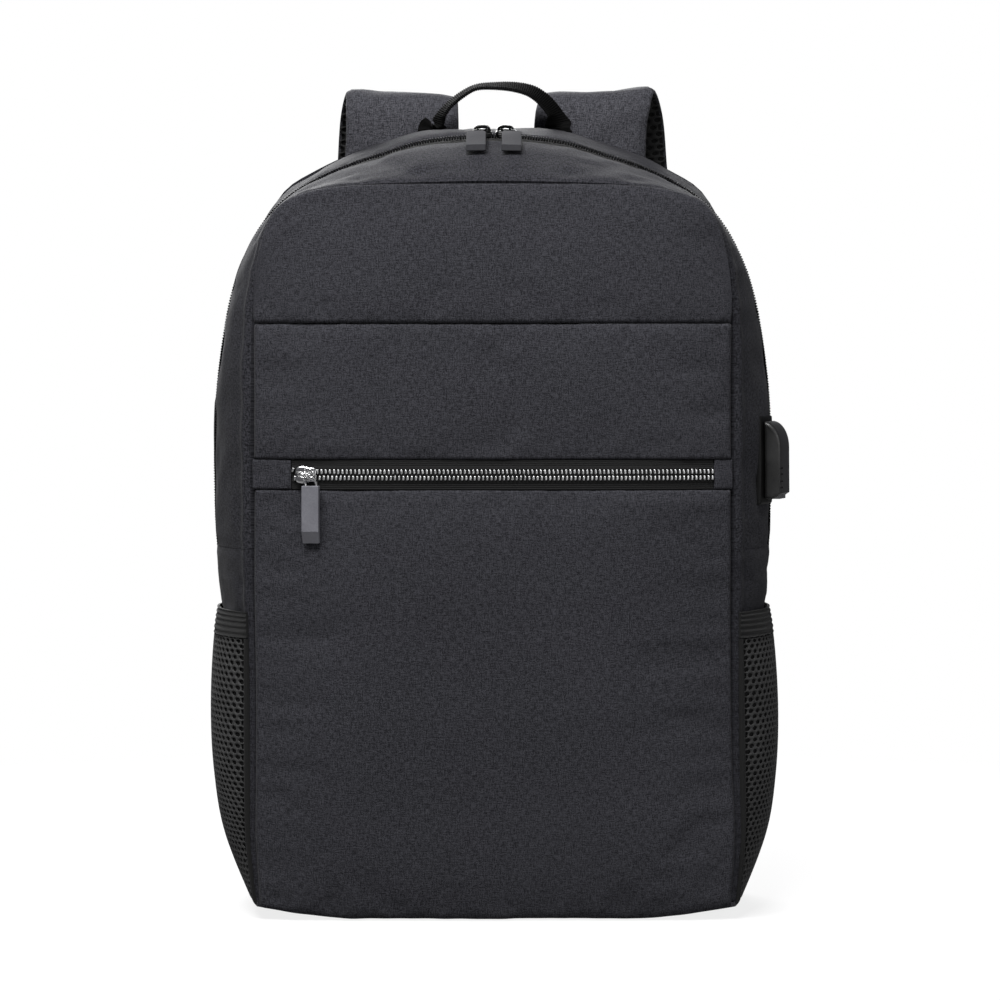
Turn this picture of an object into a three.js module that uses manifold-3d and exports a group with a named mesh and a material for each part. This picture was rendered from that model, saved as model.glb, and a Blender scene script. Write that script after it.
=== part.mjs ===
// A laptop backpack standing on its base. Millimetres, +Z up, front panel towards -Y, straps towards +Y.
// The origin is the middle of the flat base. Every cloth piece is a sheet of its real thickness.
import * as THREE from "three";
import { mergeVertices } from "three/addons/utils/BufferGeometryUtils.js";
import Module from "manifold-3d";

const wasm = await Module();
wasm.setup();

// Bag body
const bagHeight = 431; // top of the back seam
const topFall = 33; // how far the front seam lies below the back seam at the top
const frontWidth = 260;
const bulgeWidth = 309; // across both zips, where the sides bulge most
const backWidth = 282;
const baseDepth = 124; // front seam to back seam at the base
const frontLean = 12; // how far the front seam leans back by the top
const frontCrown = 11; // how far the front panel swells forward
const cornerLift = 6.5; // how far the base corners rise off the floor
const clothWall = 2.5;
const seamGap = 0.3;
const seamTuck = 0.8; // how far the gusset stops short of the back panel
const flatShare = 0.6; // share of the base's half width that lies flat
const baseSway = 2; // how far the base stands to the right of the upper half

// Front panel seams, as heights above the floor
const upperSeamHeight = 322.5;
const zipWindowTop = 249;
const zipWindowHeight = 16.3;
const zipWindowBottom = zipWindowTop - zipWindowHeight;
const zipWindowLeft = 109;
const zipWindowRight = 120;

// Front zip, with metal teeth
const tapeRecess = 1.6;
const tapeWall = 0.9;
const chainWidth = 6.2;
const chainThickness = 1.7;
const frontSliderX = -100.9;

// Main zip, a coil that runs over the top and down both sides
const mainZipEndHeight = 200;
const mainZipPlace = 0.5; // share of the depth, from the front seam
const mainZipWindow = 13;
const mainChainWidth = 6;
const mainSliderLeftX = -5.8;
const mainSliderRightX = 7.1;

// Zip sliders and their pulls
const sliderLength = 11;
const sliderWidth = 9.6;
const sliderPlate = 1.5;
const frontBridgeHeight = 4.2;
const mainBridgeHeight = 3;
const bridgeWidth = 2.2;
const bridgeBar = 1.2;
const wireDiameter = 1.1;
const wireSpan = 5.8;
const ringShare = 0.2; // of the tab's shift, how far the wire's ring is shifted along the bridge
const frontTabWidth = 9.4;
const frontTabLength = 31;
const frontTabDrop = 0.8; // from the slider's edge to the tab
const frontTabShift = 2.6; // from the slider's middle to the tab's
const mainTabWidth = 10.8;
const mainTabLength = 25.7;
const mainTabDrop = 4.1;
const mainTabShift = 3.2; // each away from the other slider
const tabThickness = 4.6;
const tabBevel = 6.4;
const mainTabDip = 5; // degrees that the upper tabs dip towards the cloth

// Side pockets, net with an elastic band
const pocketHeight = 172; // top of the band above the floor
const pocketSwell = 10.4;
const netWall = 1.2;
const bandHeight = 12.5;
const bandWall = 1.5;

// Charging port on the right side
const portHeight = 247.5; // middle of the port above the floor
const portPlace = 0.3; // share of the depth, from the front seam
const portLength = 42.4;
const portWidth = 20;
const portReach = 9.2;
const portCrown = 14.3; // height of the hood's rounded top
const portEdge = 3; // slope along the hood's two upright edges
const portFootRun = 4.9; // slope at the hood's foot, outwards
const portFootRise = 3.2; // and upwards
const portPlate = 1.4;
const plateRimY = 2; // how far the plate shows beside the hood
const plateRimZ = 3; // and above and below it
const socketWidth = 13.2;
const socketThickness = 5.8;
const socketDepth = 10;
const socketWall = 0.5;
const tongueThickness = 1.8;

// Carrying handle, one webbing that twists between its two feet
const handleLeftX = -33;
const handleRightX = 35;
const handleRise = 26.8; // above the back seam
const handleStub = 2.4; // how far its ends stand up straight
const handleWidth = 18;
const webbingWall = 1.8;
const handlePlace = 0.9; // share of the depth, from the front seam

// Shoulder straps
const strapTopX = 55;
const strapFootX = 98;
const strapWidth = 64;
const strapEndWidth = 40;
const strapPad = 6;
const strapNet = 2;
const strapBow = 62; // how far the straps stand off the back panel
const strapSway = 9; // how far both straps hang to the right where they stand off most
const lowerWebbingWidth = 20;
const buckleWidth = 30;
const buckleLength = 27;
const buckleWall = 2.6;
const buckleBar = 3;
const tailLength = 70;
const buckleDrop = 32; // from the pad's end to the middle of the buckle
const adjusterStart = 24; // how far up the pad the upper webbing is sewn on
const adjusterEnd = 2; // where it leaves the pad
const turnRun = 5.5; // how far its turn round the buckle's bar is doubled
const anchorHeight = 36;
const anchorPlace = 0.96; // share of the back panel's half width
const anchorReach = 32;
const anchorSpan = 44;
const anchorWall = 3;

// Back padding
const backPadTop = 388;
const backPadBottom = 34;
const backPadWidth = 222;
const backPadThickness = 10;

const finishes = {
  cloth: { color: 0x3c3b40, roughness: 0.92, metalness: 0 },
  sideCloth: { color: 0x333237, roughness: 0.92, metalness: 0 },
  tape: { color: 0x161618, roughness: 0.85, metalness: 0 },
  coil: { color: 0x26272a, roughness: 0.45, metalness: 0 },
  teeth: { color: 0x9a9b9f, roughness: 0.28, metalness: 1 },
  gunmetal: { color: 0x2b2c30, roughness: 0.35, metalness: 1 },
  rubber: { color: 0x5a5c60, roughness: 0.7, metalness: 0 },
  net: { color: 0x141416, roughness: 0.9, metalness: 0 },
  webbing: { color: 0x18181b, roughness: 0.8, metalness: 0 },
  plastic: { color: 0x1d1e21, roughness: 0.5, metalness: 0 },
};
const materials = Object.fromEntries(
  Object.entries(finishes).map(([name, look]) => [
    name,
    new THREE.MeshStandardMaterial(look),
  ]),
);

// Sections round half of the bag, from the middle of the top to a base corner. The x columns are shares of
// the half widths, height is a share of bagHeight, and the falls are shares of topFall below that height.
const sections = [
  { frontX: 0, zipX: 0, backX: 0, height: 1, frontFall: 1, zipFall: 0.15 },
  { frontX: 0.262, zipX: 0.233, backX: 0.27, height: 0.9965, frontFall: 0.96, zipFall: 0.19 },
  { frontX: 0.492, zipX: 0.401, backX: 0.454, height: 0.9838, frontFall: 0.81, zipFall: 0.25 },
  { frontX: 0.662, zipX: 0.535, backX: 0.61, height: 0.964, frontFall: 0.6, zipFall: 0.21 },
  { frontX: 0.777, zipX: 0.641, backX: 0.73, height: 0.9443, frontFall: 0.436, zipFall: 0.19 },
  { frontX: 0.862, zipX: 0.722, backX: 0.816, height: 0.9269, frontFall: 0.35, zipFall: 0.2 },
  { frontX: 0.919, zipX: 0.783, backX: 0.872, height: 0.9049, frontFall: 0.29, zipFall: 0.17 },
  { frontX: 0.954, zipX: 0.837, backX: 0.911, height: 0.877, frontFall: 0.25, zipFall: 0.14 },
  { frontX: 0.978, zipX: 0.884, backX: 0.94, height: 0.8422, frontFall: 0.18, zipFall: 0.1 },
  { frontX: 0.992, zipX: 0.923, backX: 0.961, height: 0.8028, frontFall: 0.12, zipFall: 0.05 },
  { frontX: 1, zipX: 0.958, backX: 0.979, height: 0.7471, frontFall: 0, zipFall: 0 },
  { frontX: 1, zipX: 0.99, backX: 0.993, height: 0.6636, frontFall: 0, zipFall: 0 },
  { frontX: 1, zipX: 1, backX: 1, height: 0.58, frontFall: 0, zipFall: 0 },
  { frontX: 1, zipX: 0.996, backX: 1, height: 0.4965, frontFall: 0, zipFall: 0 },
  { frontX: 1, zipX: 0.984, backX: 0.999, height: 0.4408, frontFall: 0, zipFall: 0 },
  { frontX: 1, zipX: 0.954, backX: 0.996, height: 0.3991, frontFall: 0, zipFall: 0 },
  { frontX: 1, zipX: 0.944, backX: 0.993, height: 0.348, frontFall: 0, zipFall: 0 },
  { frontX: 1, zipX: 0.944, backX: 0.988, height: 0.2552, frontFall: 0, zipFall: 0 },
  { frontX: 1.004, zipX: 0.942, backX: 0.982, height: 0.1624, frontFall: 0, zipFall: 0 },
  { frontX: 1.008, zipX: 0.936, backX: 0.974, height: 0.0812, frontFall: 0, zipFall: 0 },
  { frontX: 0.998, zipX: 0.89, backX: 0.954, height: 0, frontFall: 0, zipFall: 0 },
];
// The handle from its left foot to its right, as shares of the way across and of its rise. The side columns
// give the direction of its width, which turns from left-right at the feet to front-back at the top.
const handleRows = [
  { across: 0.03, up: 0.17, sideX: -0.7, sideY: 0.7, sideZ: 0 },
  { across: 0.07, up: 0.34, sideX: -0.35, sideY: 1, sideZ: 0.1 },
  { across: 0.132, up: 0.55, sideX: -0.2, sideY: 1, sideZ: 0.12 },
  { across: 0.239, up: 0.8, sideX: -0.15, sideY: 1, sideZ: 0.15 },
  { across: 0.35, up: 0.965, sideX: -0.05, sideY: 1, sideZ: 0.18 },
  { across: 0.5, up: 1, sideX: 0, sideY: 1, sideZ: 0.24 },
  { across: 0.675, up: 0.97, sideX: 0.1, sideY: 1, sideZ: 0.34 },
  { across: 0.8, up: 0.87, sideX: 0.25, sideY: 1, sideZ: 0.36 },
  { across: 0.897, up: 0.67, sideX: 0.4, sideY: 1, sideZ: 0.3 },
  { across: 0.98, up: 0.38, sideX: 0.55, sideY: 1, sideZ: 0.15 },
  { across: 1, up: 0.18, sideX: 0.9, sideY: 0.6, sideZ: 0 },
];

// A strap from the back seam over its top and down: out is a share of strapBow, up of bagHeight, splay of
// the way from strapTopX to strapFootX, wide of the way from strapEndWidth to strapWidth, and tilt how far
// its outer edge rises for its width.
const strapRows = [
  { out: 0, up: 0.935, splay: 0, wide: 1, tilt: 0 },
  { out: 0, up: 0.985, splay: 0, wide: 1, tilt: 0.02 },
  { out: 0.08, up: 1.025, splay: 0.02, wide: 1, tilt: 0.05 },
  { out: 0.28, up: 1.043, splay: 0.08, wide: 1, tilt: 0.06 },
  { out: 0.5, up: 1.015, splay: 0.15, wide: 1, tilt: 0 },
  { out: 0.63, up: 0.94, splay: 0.2, wide: 1, tilt: 0 },
  { out: 0.8, up: 0.8, splay: 0.35, wide: 1, tilt: 0 },
  { out: 0.9, up: 0.64, splay: 0.55, wide: 0.95, tilt: 0 },
  { out: 0.8, up: 0.48, splay: 0.78, wide: 0.8, tilt: 0 },
  { out: 0.56, up: 0.35, splay: 0.95, wide: 0.5, tilt: 0 },
  { out: 0.45, up: 0.275, splay: 1, wide: 0.15, tilt: 0 },
];

const archEnd = 9.5 / (sections.length - 1); // where the top arch meets the straight sides
const bulgePower = 2.2;

const backY = baseDepth / 2;
const bodyMiddle = new THREE.Vector3(0, 0, bagHeight / 2);
const lerp = THREE.MathUtils.lerp;

// Catmull-Rom value of one column between two sections. Columns of x are odd about the middle of the top.
function column(name, at) {
  const last = sections.length - 1;
  const i = Math.min(Math.floor(at), last - 1);
  const value = (k) =>
    k < 0 ? (name.endsWith("X") ? -1 : 1) * sections[-k][name] : sections[Math.min(k, last)][name];
  const [a, b, c, d] = [value(i - 1), value(i), value(i + 1), value(i + 2)];
  const t = at - i;
  return b + 0.5 * t * (c - a + t * (2 * a - 5 * b + 4 * c - d + t * (3 * (b - c) + d - a)));
}

// Outlines of the front seam, the zip and the back seam at s, from -1 at the left base corner to 1 at the
// right one.
function outline(s) {
  const at = Math.abs(s) * (sections.length - 1);
  const side = s < 0 ? -1 : 1;
  const lifted = cornerLift + column("height", at) * (bagHeight - cornerLift);
  return {
    front: [(side * column("frontX", at) * frontWidth) / 2, lifted - column("frontFall", at) * topFall],
    zip: [(side * column("zipX", at) * bulgeWidth) / 2, lifted - column("zipFall", at) * topFall],
    back: [(side * column("backX", at) * backWidth) / 2, lifted],
  };
}

const frontY = (z) => -baseDepth / 2 + (frontLean * z) / bagHeight;
const swayAt = (z) => baseSway * Math.max(0, 1 - (2 * z) / bagHeight);

// A point on the gusset: s runs round the bag and v from the front seam, 0, to the back seam, 1.
function gussetPoint(s, v) {
  const { front, zip, back } = outline(s);
  const bulge = 1 - Math.abs(2 * v - 1) ** bulgePower;
  const [x, z] = [0, 1].map(
    (k) => lerp(front[k], back[k], v) + (zip[k] - (front[k] + back[k]) / 2) * bulge,
  );
  return new THREE.Vector3(x + swayAt(z), lerp(frontY(front[1]), backY, v), z);
}

const depthAt = (s) => backY - frontY(outline(s).front[1]);

// The s on the right side whose outline lies at a height, by halving.
function sideAt(height) {
  let [low, high] = [archEnd, 1];
  for (let i = 0; i < 40; i++) {
    const middle = (low + high) / 2;
    if (outline(middle).zip[1] > height) low = middle;
    else high = middle;
  }
  return low;
}

// The s over the top whose zip lies at an x, by halving.
function topAt(x) {
  let [low, high] = [0, archEnd];
  for (let i = 0; i < 40; i++) {
    const middle = (low + high) / 2;
    if (outline(middle).zip[0] < Math.abs(x)) low = middle;
    else high = middle;
  }
  return Math.sign(x) * low;
}

// How far the base rises off the floor, at a share of its half width.
function baseRise(share) {
  const past = Math.max(0, Math.abs(share) - flatShare) / (1 - flatShare);
  return cornerLift * past ** 1.4;
}

// A point of the front or back panel: u from -1 to 1 across, and h up, from the floor to the panel's top.
function panelPlace(loop, u, h) {
  const arch = outline(u * archEnd)[loop];
  const share = arch[0] / outline(archEnd)[loop][0];
  const rowHeight = Math.min(h, upperSeamHeight);
  const [width] = outline(sideAt(rowHeight))[loop];
  const top = outline(0)[loop][1];
  const up = Math.max(0, h - upperSeamHeight) / (top - upperSeamHeight);
  const lift = baseRise(share) * Math.max(0, 1 - h / zipWindowBottom) ** 3;
  return { share, x: lerp(share * width, arch[0], up), z: lerp(rowHeight + lift, arch[1], up) };
}

function frontPoint(u, h) {
  const { share, x, z } = panelPlace("front", u, h);
  const tall = z / (bagHeight - topFall);
  const crown = frontCrown * (1 - share ** 4) * (1 - Math.abs(2 * tall - 1) ** 3 * 0.8);
  return new THREE.Vector3(x + swayAt(z), frontY(z) - crown, z);
}

function backPoint(u, h) {
  const { x, z } = panelPlace("back", u, h);
  return new THREE.Vector3(x + swayAt(z), backY, z);
}

// The u of the front panel's grid at an x, by halving.
function acrossAt(x, h) {
  let [low, high] = [0, 1];
  for (let i = 0; i < 40; i++) {
    const middle = (low + high) / 2;
    if (panelPlace("front", middle, h).x < Math.abs(x)) low = middle;
    else high = middle;
  }
  return Math.sign(x) * low;
}

// Outward unit normal of a surface, away from the middle of the bag.
function normalOf(surface, u, v, away = bodyMiddle) {
  const step = 1e-3;
  const along = surface(u + step, v).sub(surface(u - step, v));
  const across = surface(u, v + step).sub(surface(u, v - step));
  const normal = along.cross(across).normalize();
  const outward = surface(u, v).sub(away);
  return normal.dot(outward) < 0 ? normal.negate() : normal;
}

const steps = (from, to, count) =>
  Array.from({ length: count + 1 }, (_, i) => lerp(from, to, i / count));

// A closed geometry from points and faces, turned inside out where its volume comes out negative.
function closedGeometry(points, faces) {
  const volume = faces.reduce(
    (sum, [a, b, c]) => sum + points[a].dot(points[b].clone().cross(points[c])),
    0,
  );
  const index = faces.flatMap(([a, b, c]) => (volume < 0 ? [a, c, b] : [a, b, c]));
  const geometry = new THREE.BufferGeometry();
  geometry.setAttribute(
    "position",
    new THREE.Float32BufferAttribute(
      points.flatMap((p) => p.toArray()),
      3,
    ),
  );
  geometry.setIndex(index);
  geometry.computeVertexNormals();
  return geometry;
}

// A sheet over a surface: its faces lie at the offsets outer and inner along the normal, which are numbers
// or functions.
function sheet({ surface, us, vs, outer = 0, inner = -clothWall, away = bodyMiddle }) {
  const offset = (value, u, v) => (typeof value === "function" ? value(u, v) : value);
  const points = [];
  for (const side of [outer, inner])
    for (const u of us)
      for (const v of vs)
        points.push(
          surface(u, v).addScaledVector(normalOf(surface, u, v, away), offset(side, u, v)),
        );
  const [nu, nv] = [us.length, vs.length];
  const at = (side, i, j) => side * nu * nv + i * nv + j;
  const faces = [];
  const quad = (a, b, c, d) => faces.push([a, b, c], [a, c, d]);
  for (let i = 0; i < nu - 1; i++)
    for (let j = 0; j < nv - 1; j++) {
      quad(at(0, i, j), at(0, i + 1, j), at(0, i + 1, j + 1), at(0, i, j + 1));
      quad(at(1, i, j), at(1, i, j + 1), at(1, i + 1, j + 1), at(1, i + 1, j));
    }
  for (let i = 0; i < nu - 1; i++) {
    quad(at(0, i, 0), at(1, i, 0), at(1, i + 1, 0), at(0, i + 1, 0));
    quad(at(0, i, nv - 1), at(0, i + 1, nv - 1), at(1, i + 1, nv - 1), at(1, i, nv - 1));
  }
  for (let j = 0; j < nv - 1; j++) {
    quad(at(0, 0, j), at(0, 0, j + 1), at(1, 0, j + 1), at(1, 0, j));
    quad(at(0, nu - 1, j), at(1, nu - 1, j), at(1, nu - 1, j + 1), at(0, nu - 1, j + 1));
  }
  return closedGeometry(points, faces);
}

// A solid through rings of points that all have the same count, closed by a fan at each end.
function loft(rings) {
  const count = rings[0].length;
  const points = rings.flat();
  const faces = [];
  for (let r = 0; r < rings.length - 1; r++)
    for (let k = 0; k < count; k++) {
      const [a, b] = [r * count + k, r * count + ((k + 1) % count)];
      // Opposite faces are split along the same diagonal, so that a twisted band keeps its thickness
      if (k < count / 2) faces.push([a, b, b + count], [a, b + count, a + count]);
      else faces.push([a, b, a + count], [b, b + count, a + count]);
    }
  const last = (rings.length - 1) * count;
  for (let k = 1; k < count - 1; k++)
    faces.push([0, k + 1, k], [last, last + k, last + k + 1]);
  return closedGeometry(points, faces);
}

// A flat band along a path of { place, side, width }, between two offsets off its middle plane.
function band(path, low, high, ease = 0) {
  return loft(
    path.map(({ place, side, width }, i) => {
      const before = path[Math.max(0, i - 1)].place;
      const after = path[Math.min(path.length - 1, i + 1)].place;
      const along = after.clone().sub(before).normalize();
      const across = side.clone().addScaledVector(along, -side.dot(along)).normalize();
      const out = along.clone().cross(across);
      const corner = (w, o) => place.clone().addScaledVector(across, w).addScaledVector(out, o);
      const half = width / 2;
      const flat = half - ease;
      const middle = (low + high) / 2;
      const edges = [
        [-flat, low],
        [flat, low],
        [half, middle],
        [flat, high],
        [-flat, high],
        [-half, middle],
      ];
      return edges.filter(([, o]) => ease || o !== middle).map(([w, o]) => corner(w, o));
    }),
  );
}

function toSolid(geometry) {
  const bare = geometry.index ? geometry.toNonIndexed() : geometry.clone();
  bare.deleteAttribute("normal");
  bare.deleteAttribute("uv");
  const merged = mergeVertices(bare, 1e-4);
  return new wasm.Manifold(
    new wasm.Mesh({
      numProp: 3,
      vertProperties: merged.attributes.position.array,
      triVerts: new Uint32Array(merged.index.array),
    }),
  );
}

function fromSolid(solid) {
  const made = solid.getMesh();
  const geometry = new THREE.BufferGeometry();
  geometry.setAttribute("position", new THREE.BufferAttribute(made.vertProperties, 3));
  geometry.setIndex(new THREE.BufferAttribute(made.triVerts, 1));
  geometry.computeVertexNormals();
  return geometry;
}

const piece = (name, geometry, material) => {
  const mesh = new THREE.Mesh(geometry, materials[material]);
  mesh.name = name;
  return mesh;
};

const block = (sizeX, sizeY, sizeZ, x = 0, y = 0, z = 0) =>
  new THREE.BoxGeometry(sizeX, sizeY, sizeZ).translate(x, y, z);

const bag = new THREE.Group();
const zipEnd = sideAt(mainZipEndHeight);
const baseEnd = sideAt(cornerLift + clothWall + seamGap);
const frontEdge = (clothWall + seamGap) / baseDepth; // v just behind the front panel
const backEdge = 1 - frontEdge - seamTuck / baseDepth; // v just before the back panel
const halfWindow = mainZipWindow / 2 / baseDepth;
const halfGap = seamGap / 2;

// The front panel, in three sewn pieces with the zip window between the lower two
function frontPanel() {
  const group = new THREE.Group();
  const across = steps(-1, 1, 24);
  const top = outline(0).front[1];
  const row = (low, high, count) => steps(low, high, count);
  const part = (name, heights) =>
    piece(name, sheet({ surface: frontPoint, us: across, vs: heights }), "cloth");
  group.add(
    part("front_upper", row(upperSeamHeight + halfGap, top, 4)),
    part("front_middle", row(zipWindowTop + halfGap, upperSeamHeight - halfGap, 3)),
    part("front_lower", row(0, zipWindowBottom - halfGap, 6)),
  );
  return group;
}

// The front zip: a tape set into the window, its row of teeth, and a cloth tab at each end
function frontZip() {
  const group = new THREE.Group();
  const middle = (zipWindowTop + zipWindowBottom) / 2;
  const edge = (x) => acrossAt(x, middle);
  const left = edge(-zipWindowLeft);
  const right = edge(zipWindowRight);
  const apart = 0.004; // u between the tape and the end tabs
  const heights = steps(zipWindowBottom + halfGap, zipWindowTop - halfGap, 1);
  group.add(
    piece(
      "front_zip_tape",
      sheet({
        surface: frontPoint,
        us: steps(left + apart, right - apart, 18),
        vs: heights,
        outer: -tapeRecess,
        inner: -tapeRecess - tapeWall,
      }),
      "tape",
    ),
    piece(
      "front_zip_chain",
      sheet({
        surface: frontPoint,
        us: steps(left + apart, right - apart, 18),
        vs: [middle - chainWidth / 2, middle + chainWidth / 2],
        outer: seamGap + chainThickness - tapeRecess,
        inner: seamGap - tapeRecess,
      }),
      "teeth",
    ),
  );
  const tab = (name, from, to) =>
    piece(
      name,
      sheet({ surface: frontPoint, us: steps(from, to, 4), vs: heights }),
      "cloth",
    );
  group.add(tab("zip_end_left", -1, left), tab("zip_end_right", right, 1));
  return group;
}

// The gusset: a front and a rear strip round the zip, and one lower side on each side below the zip
function gusset() {
  const group = new THREE.Group();
  const round = steps(-zipEnd, zipEnd, 42);
  const strip = (name, from, to, count) =>
    piece(name, sheet({ surface: gussetPoint, us: round, vs: steps(from, to, count) }), "sideCloth");
  const below = zipEnd + seamGap / bagHeight;
  const lower = (name, from, to) =>
    piece(
      name,
      sheet({ surface: gussetPoint, us: steps(from, to, 10), vs: steps(frontEdge, backEdge, 9) }),
      "sideCloth",
    );
  group.add(
    strip("gusset_front", frontEdge, mainZipPlace - halfWindow, 4),
    strip("gusset_rear", mainZipPlace + halfWindow, backEdge, 3),
    lower("side_left", -baseEnd, -below),
    lower("side_right", below, baseEnd),
  );
  return group;
}

// The main zip's tape and coil, set into the slot between the two strips of the gusset
function mainZip() {
  const group = new THREE.Group();
  const inside = seamGap / baseDepth;
  const round = steps(-zipEnd, zipEnd, 42);
  const halfChain = mainChainWidth / 2 / baseDepth;
  group.add(
    piece(
      "main_zip_tape",
      sheet({
        surface: gussetPoint,
        us: round,
        vs: [mainZipPlace - halfWindow + inside, mainZipPlace + halfWindow - inside],
        outer: -tapeRecess,
        inner: -tapeRecess - tapeWall,
      }),
      "tape",
    ),
    piece(
      "main_zip_chain",
      sheet({
        surface: gussetPoint,
        us: round,
        vs: [mainZipPlace - halfChain, mainZipPlace + halfChain],
        outer: seamGap + chainThickness - tapeRecess,
        inner: seamGap - tapeRecess,
      }),
      "coil",
    ),
  );
  return group;
}

function basePanel() {
  const surface = (u, v) => {
    const [frontX] = outline(baseEnd).front;
    const [zipX] = outline(baseEnd).zip;
    const half = lerp(frontX, zipX, 1 - Math.abs(2 * v - 1) ** bulgePower);
    return new THREE.Vector3(u * half + baseSway, lerp(frontY(0), backY, v), baseRise(u));
  };
  const half = flatShare;
  const us = [...steps(-1, -half, 5), ...steps(-half, half, 2).slice(1, -1), ...steps(half, 1, 5)];
  return piece(
    "base_panel",
    sheet({ surface, us, vs: steps(frontEdge, backEdge, 4) }),
    "sideCloth",
  );
}

function backPanel() {
  const group = new THREE.Group();
  const top = outline(0).back[1];
  const vs = [...steps(0, upperSeamHeight, 6), ...steps(upperSeamHeight, top, 4).slice(1)];
  group.add(
    piece("back_panel", sheet({ surface: backPoint, us: steps(-1, 1, 18), vs }), "sideCloth"),
  );
  // The pad swells off the panel and thins to its edges
  const surface = (u, h) =>
    new THREE.Vector3((u * backPadWidth) / 2, backY, lerp(backPadBottom, backPadTop, h));
  const swell = (u, h) =>
    seamGap + netWall +
    (backPadThickness - netWall) *
      Math.sqrt(Math.max(0, (1 - u ** 6) * (1 - Math.abs(2 * h - 1) ** 10)));
  group.add(
    piece(
      "back_pad",
      sheet({
        surface,
        us: [-1, -0.94, -0.8, -0.45, 0, 0.45, 0.8, 0.94, 1],
        vs: [0, 0.02, 0.07, 0.3, 0.5, 0.7, 0.93, 0.98, 1],
        outer: swell,
        inner: seamGap,
      }),
      "net",
    ),
  );
  return group;
}

// One net pocket with its elastic band, on the side given by 1 for right or -1 for left
function pocket(name, side) {
  const group = new THREE.Group();
  const bottom = sideAt(cornerLift + clothWall + seamGap);
  const top = sideAt(pocketHeight);
  const bandFoot = sideAt(pocketHeight - bandHeight);
  const [front, back] = [frontEdge + 0.015, backEdge - 0.015];
  const surface = (s, v) => gussetPoint(side * s, v);
  const swell = (s, v) => {
    const up = (bottom - s) / (bottom - top);
    const across = (v - front) / (back - front);
    return (
      seamGap +
      pocketSwell *
        Math.sin(Math.PI * (0.02 + 0.8 * up)) *
        Math.max(0, Math.sin(Math.PI * across)) ** 0.55
    );
  };
  const part = (label, from, to, rows, wall, material) =>
    piece(
      label,
      sheet({
        surface,
        us: steps(from, to, rows),
        vs: [0, 0.04, 0.12, 0.25, 0.4, 0.6, 0.75, 0.88, 0.96, 1].map((v) => lerp(front, back, v)),
        outer: (s, v) => swell(s, v) + wall,
        inner: swell,
      }),
      material,
    );
  const seam = seamGap / bagHeight;
  group.add(
    part(`pocket_${name}`, bottom, bandFoot + seam, 9, netWall, "net"),
    part(`pocket_band_${name}`, bandFoot - seam, top, 1, bandWall, "webbing"),
  );
  return group;
}

// A slider: a plate over the chain and a bridge along it. Local x runs along the zip, z outwards.
function sliderGeometry(bridgeHeight) {
  const half = sliderWidth / 2;
  const nose = sliderLength / 2;
  const plate = new THREE.Shape()
    .moveTo(-nose, -half * 0.7)
    .lineTo(-nose * 0.4, -half * 0.8)
    .quadraticCurveTo(nose * 0.3, -half * 1.05, nose * 0.8, -half * 0.9)
    .lineTo(nose, -half * 0.45)
    .lineTo(nose, half * 0.45)
    .lineTo(nose * 0.8, half * 0.9)
    .quadraticCurveTo(nose * 0.3, half * 1.05, -nose * 0.4, half * 0.8)
    .lineTo(-nose, half * 0.7)
    .closePath();
  const body = new THREE.ExtrudeGeometry(plate, {
    depth: sliderPlate,
    bevelEnabled: false,
    curveSegments: 4,
  });
  const reach = sliderLength * 0.34;
  const arch = (out) =>
    new THREE.Shape()
      .moveTo(-reach - out, -sliderPlate / 2)
      .lineTo(-reach - out, bridgeHeight * 0.5)
      .quadraticCurveTo(-reach - out, bridgeHeight + out, 0, bridgeHeight + out)
      .quadraticCurveTo(reach + out, bridgeHeight + out, reach + out, bridgeHeight * 0.5)
      .lineTo(reach + out, -sliderPlate / 2)
      .closePath();
  const bridge = (out, width) =>
    toSolid(
      new THREE.ExtrudeGeometry(arch(out), { depth: width, bevelEnabled: false, curveSegments: 5 })
        .translate(0, 0, -width / 2)
        .rotateX(Math.PI / 2)
        .translate(0, 0, sliderPlate),
    );
  const hollow = bridge(0, bridgeWidth * 2);
  return fromSolid(toSolid(body).add(bridge(bridgeBar, bridgeWidth).subtract(hollow)).add(toSolid(body)));
}

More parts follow.
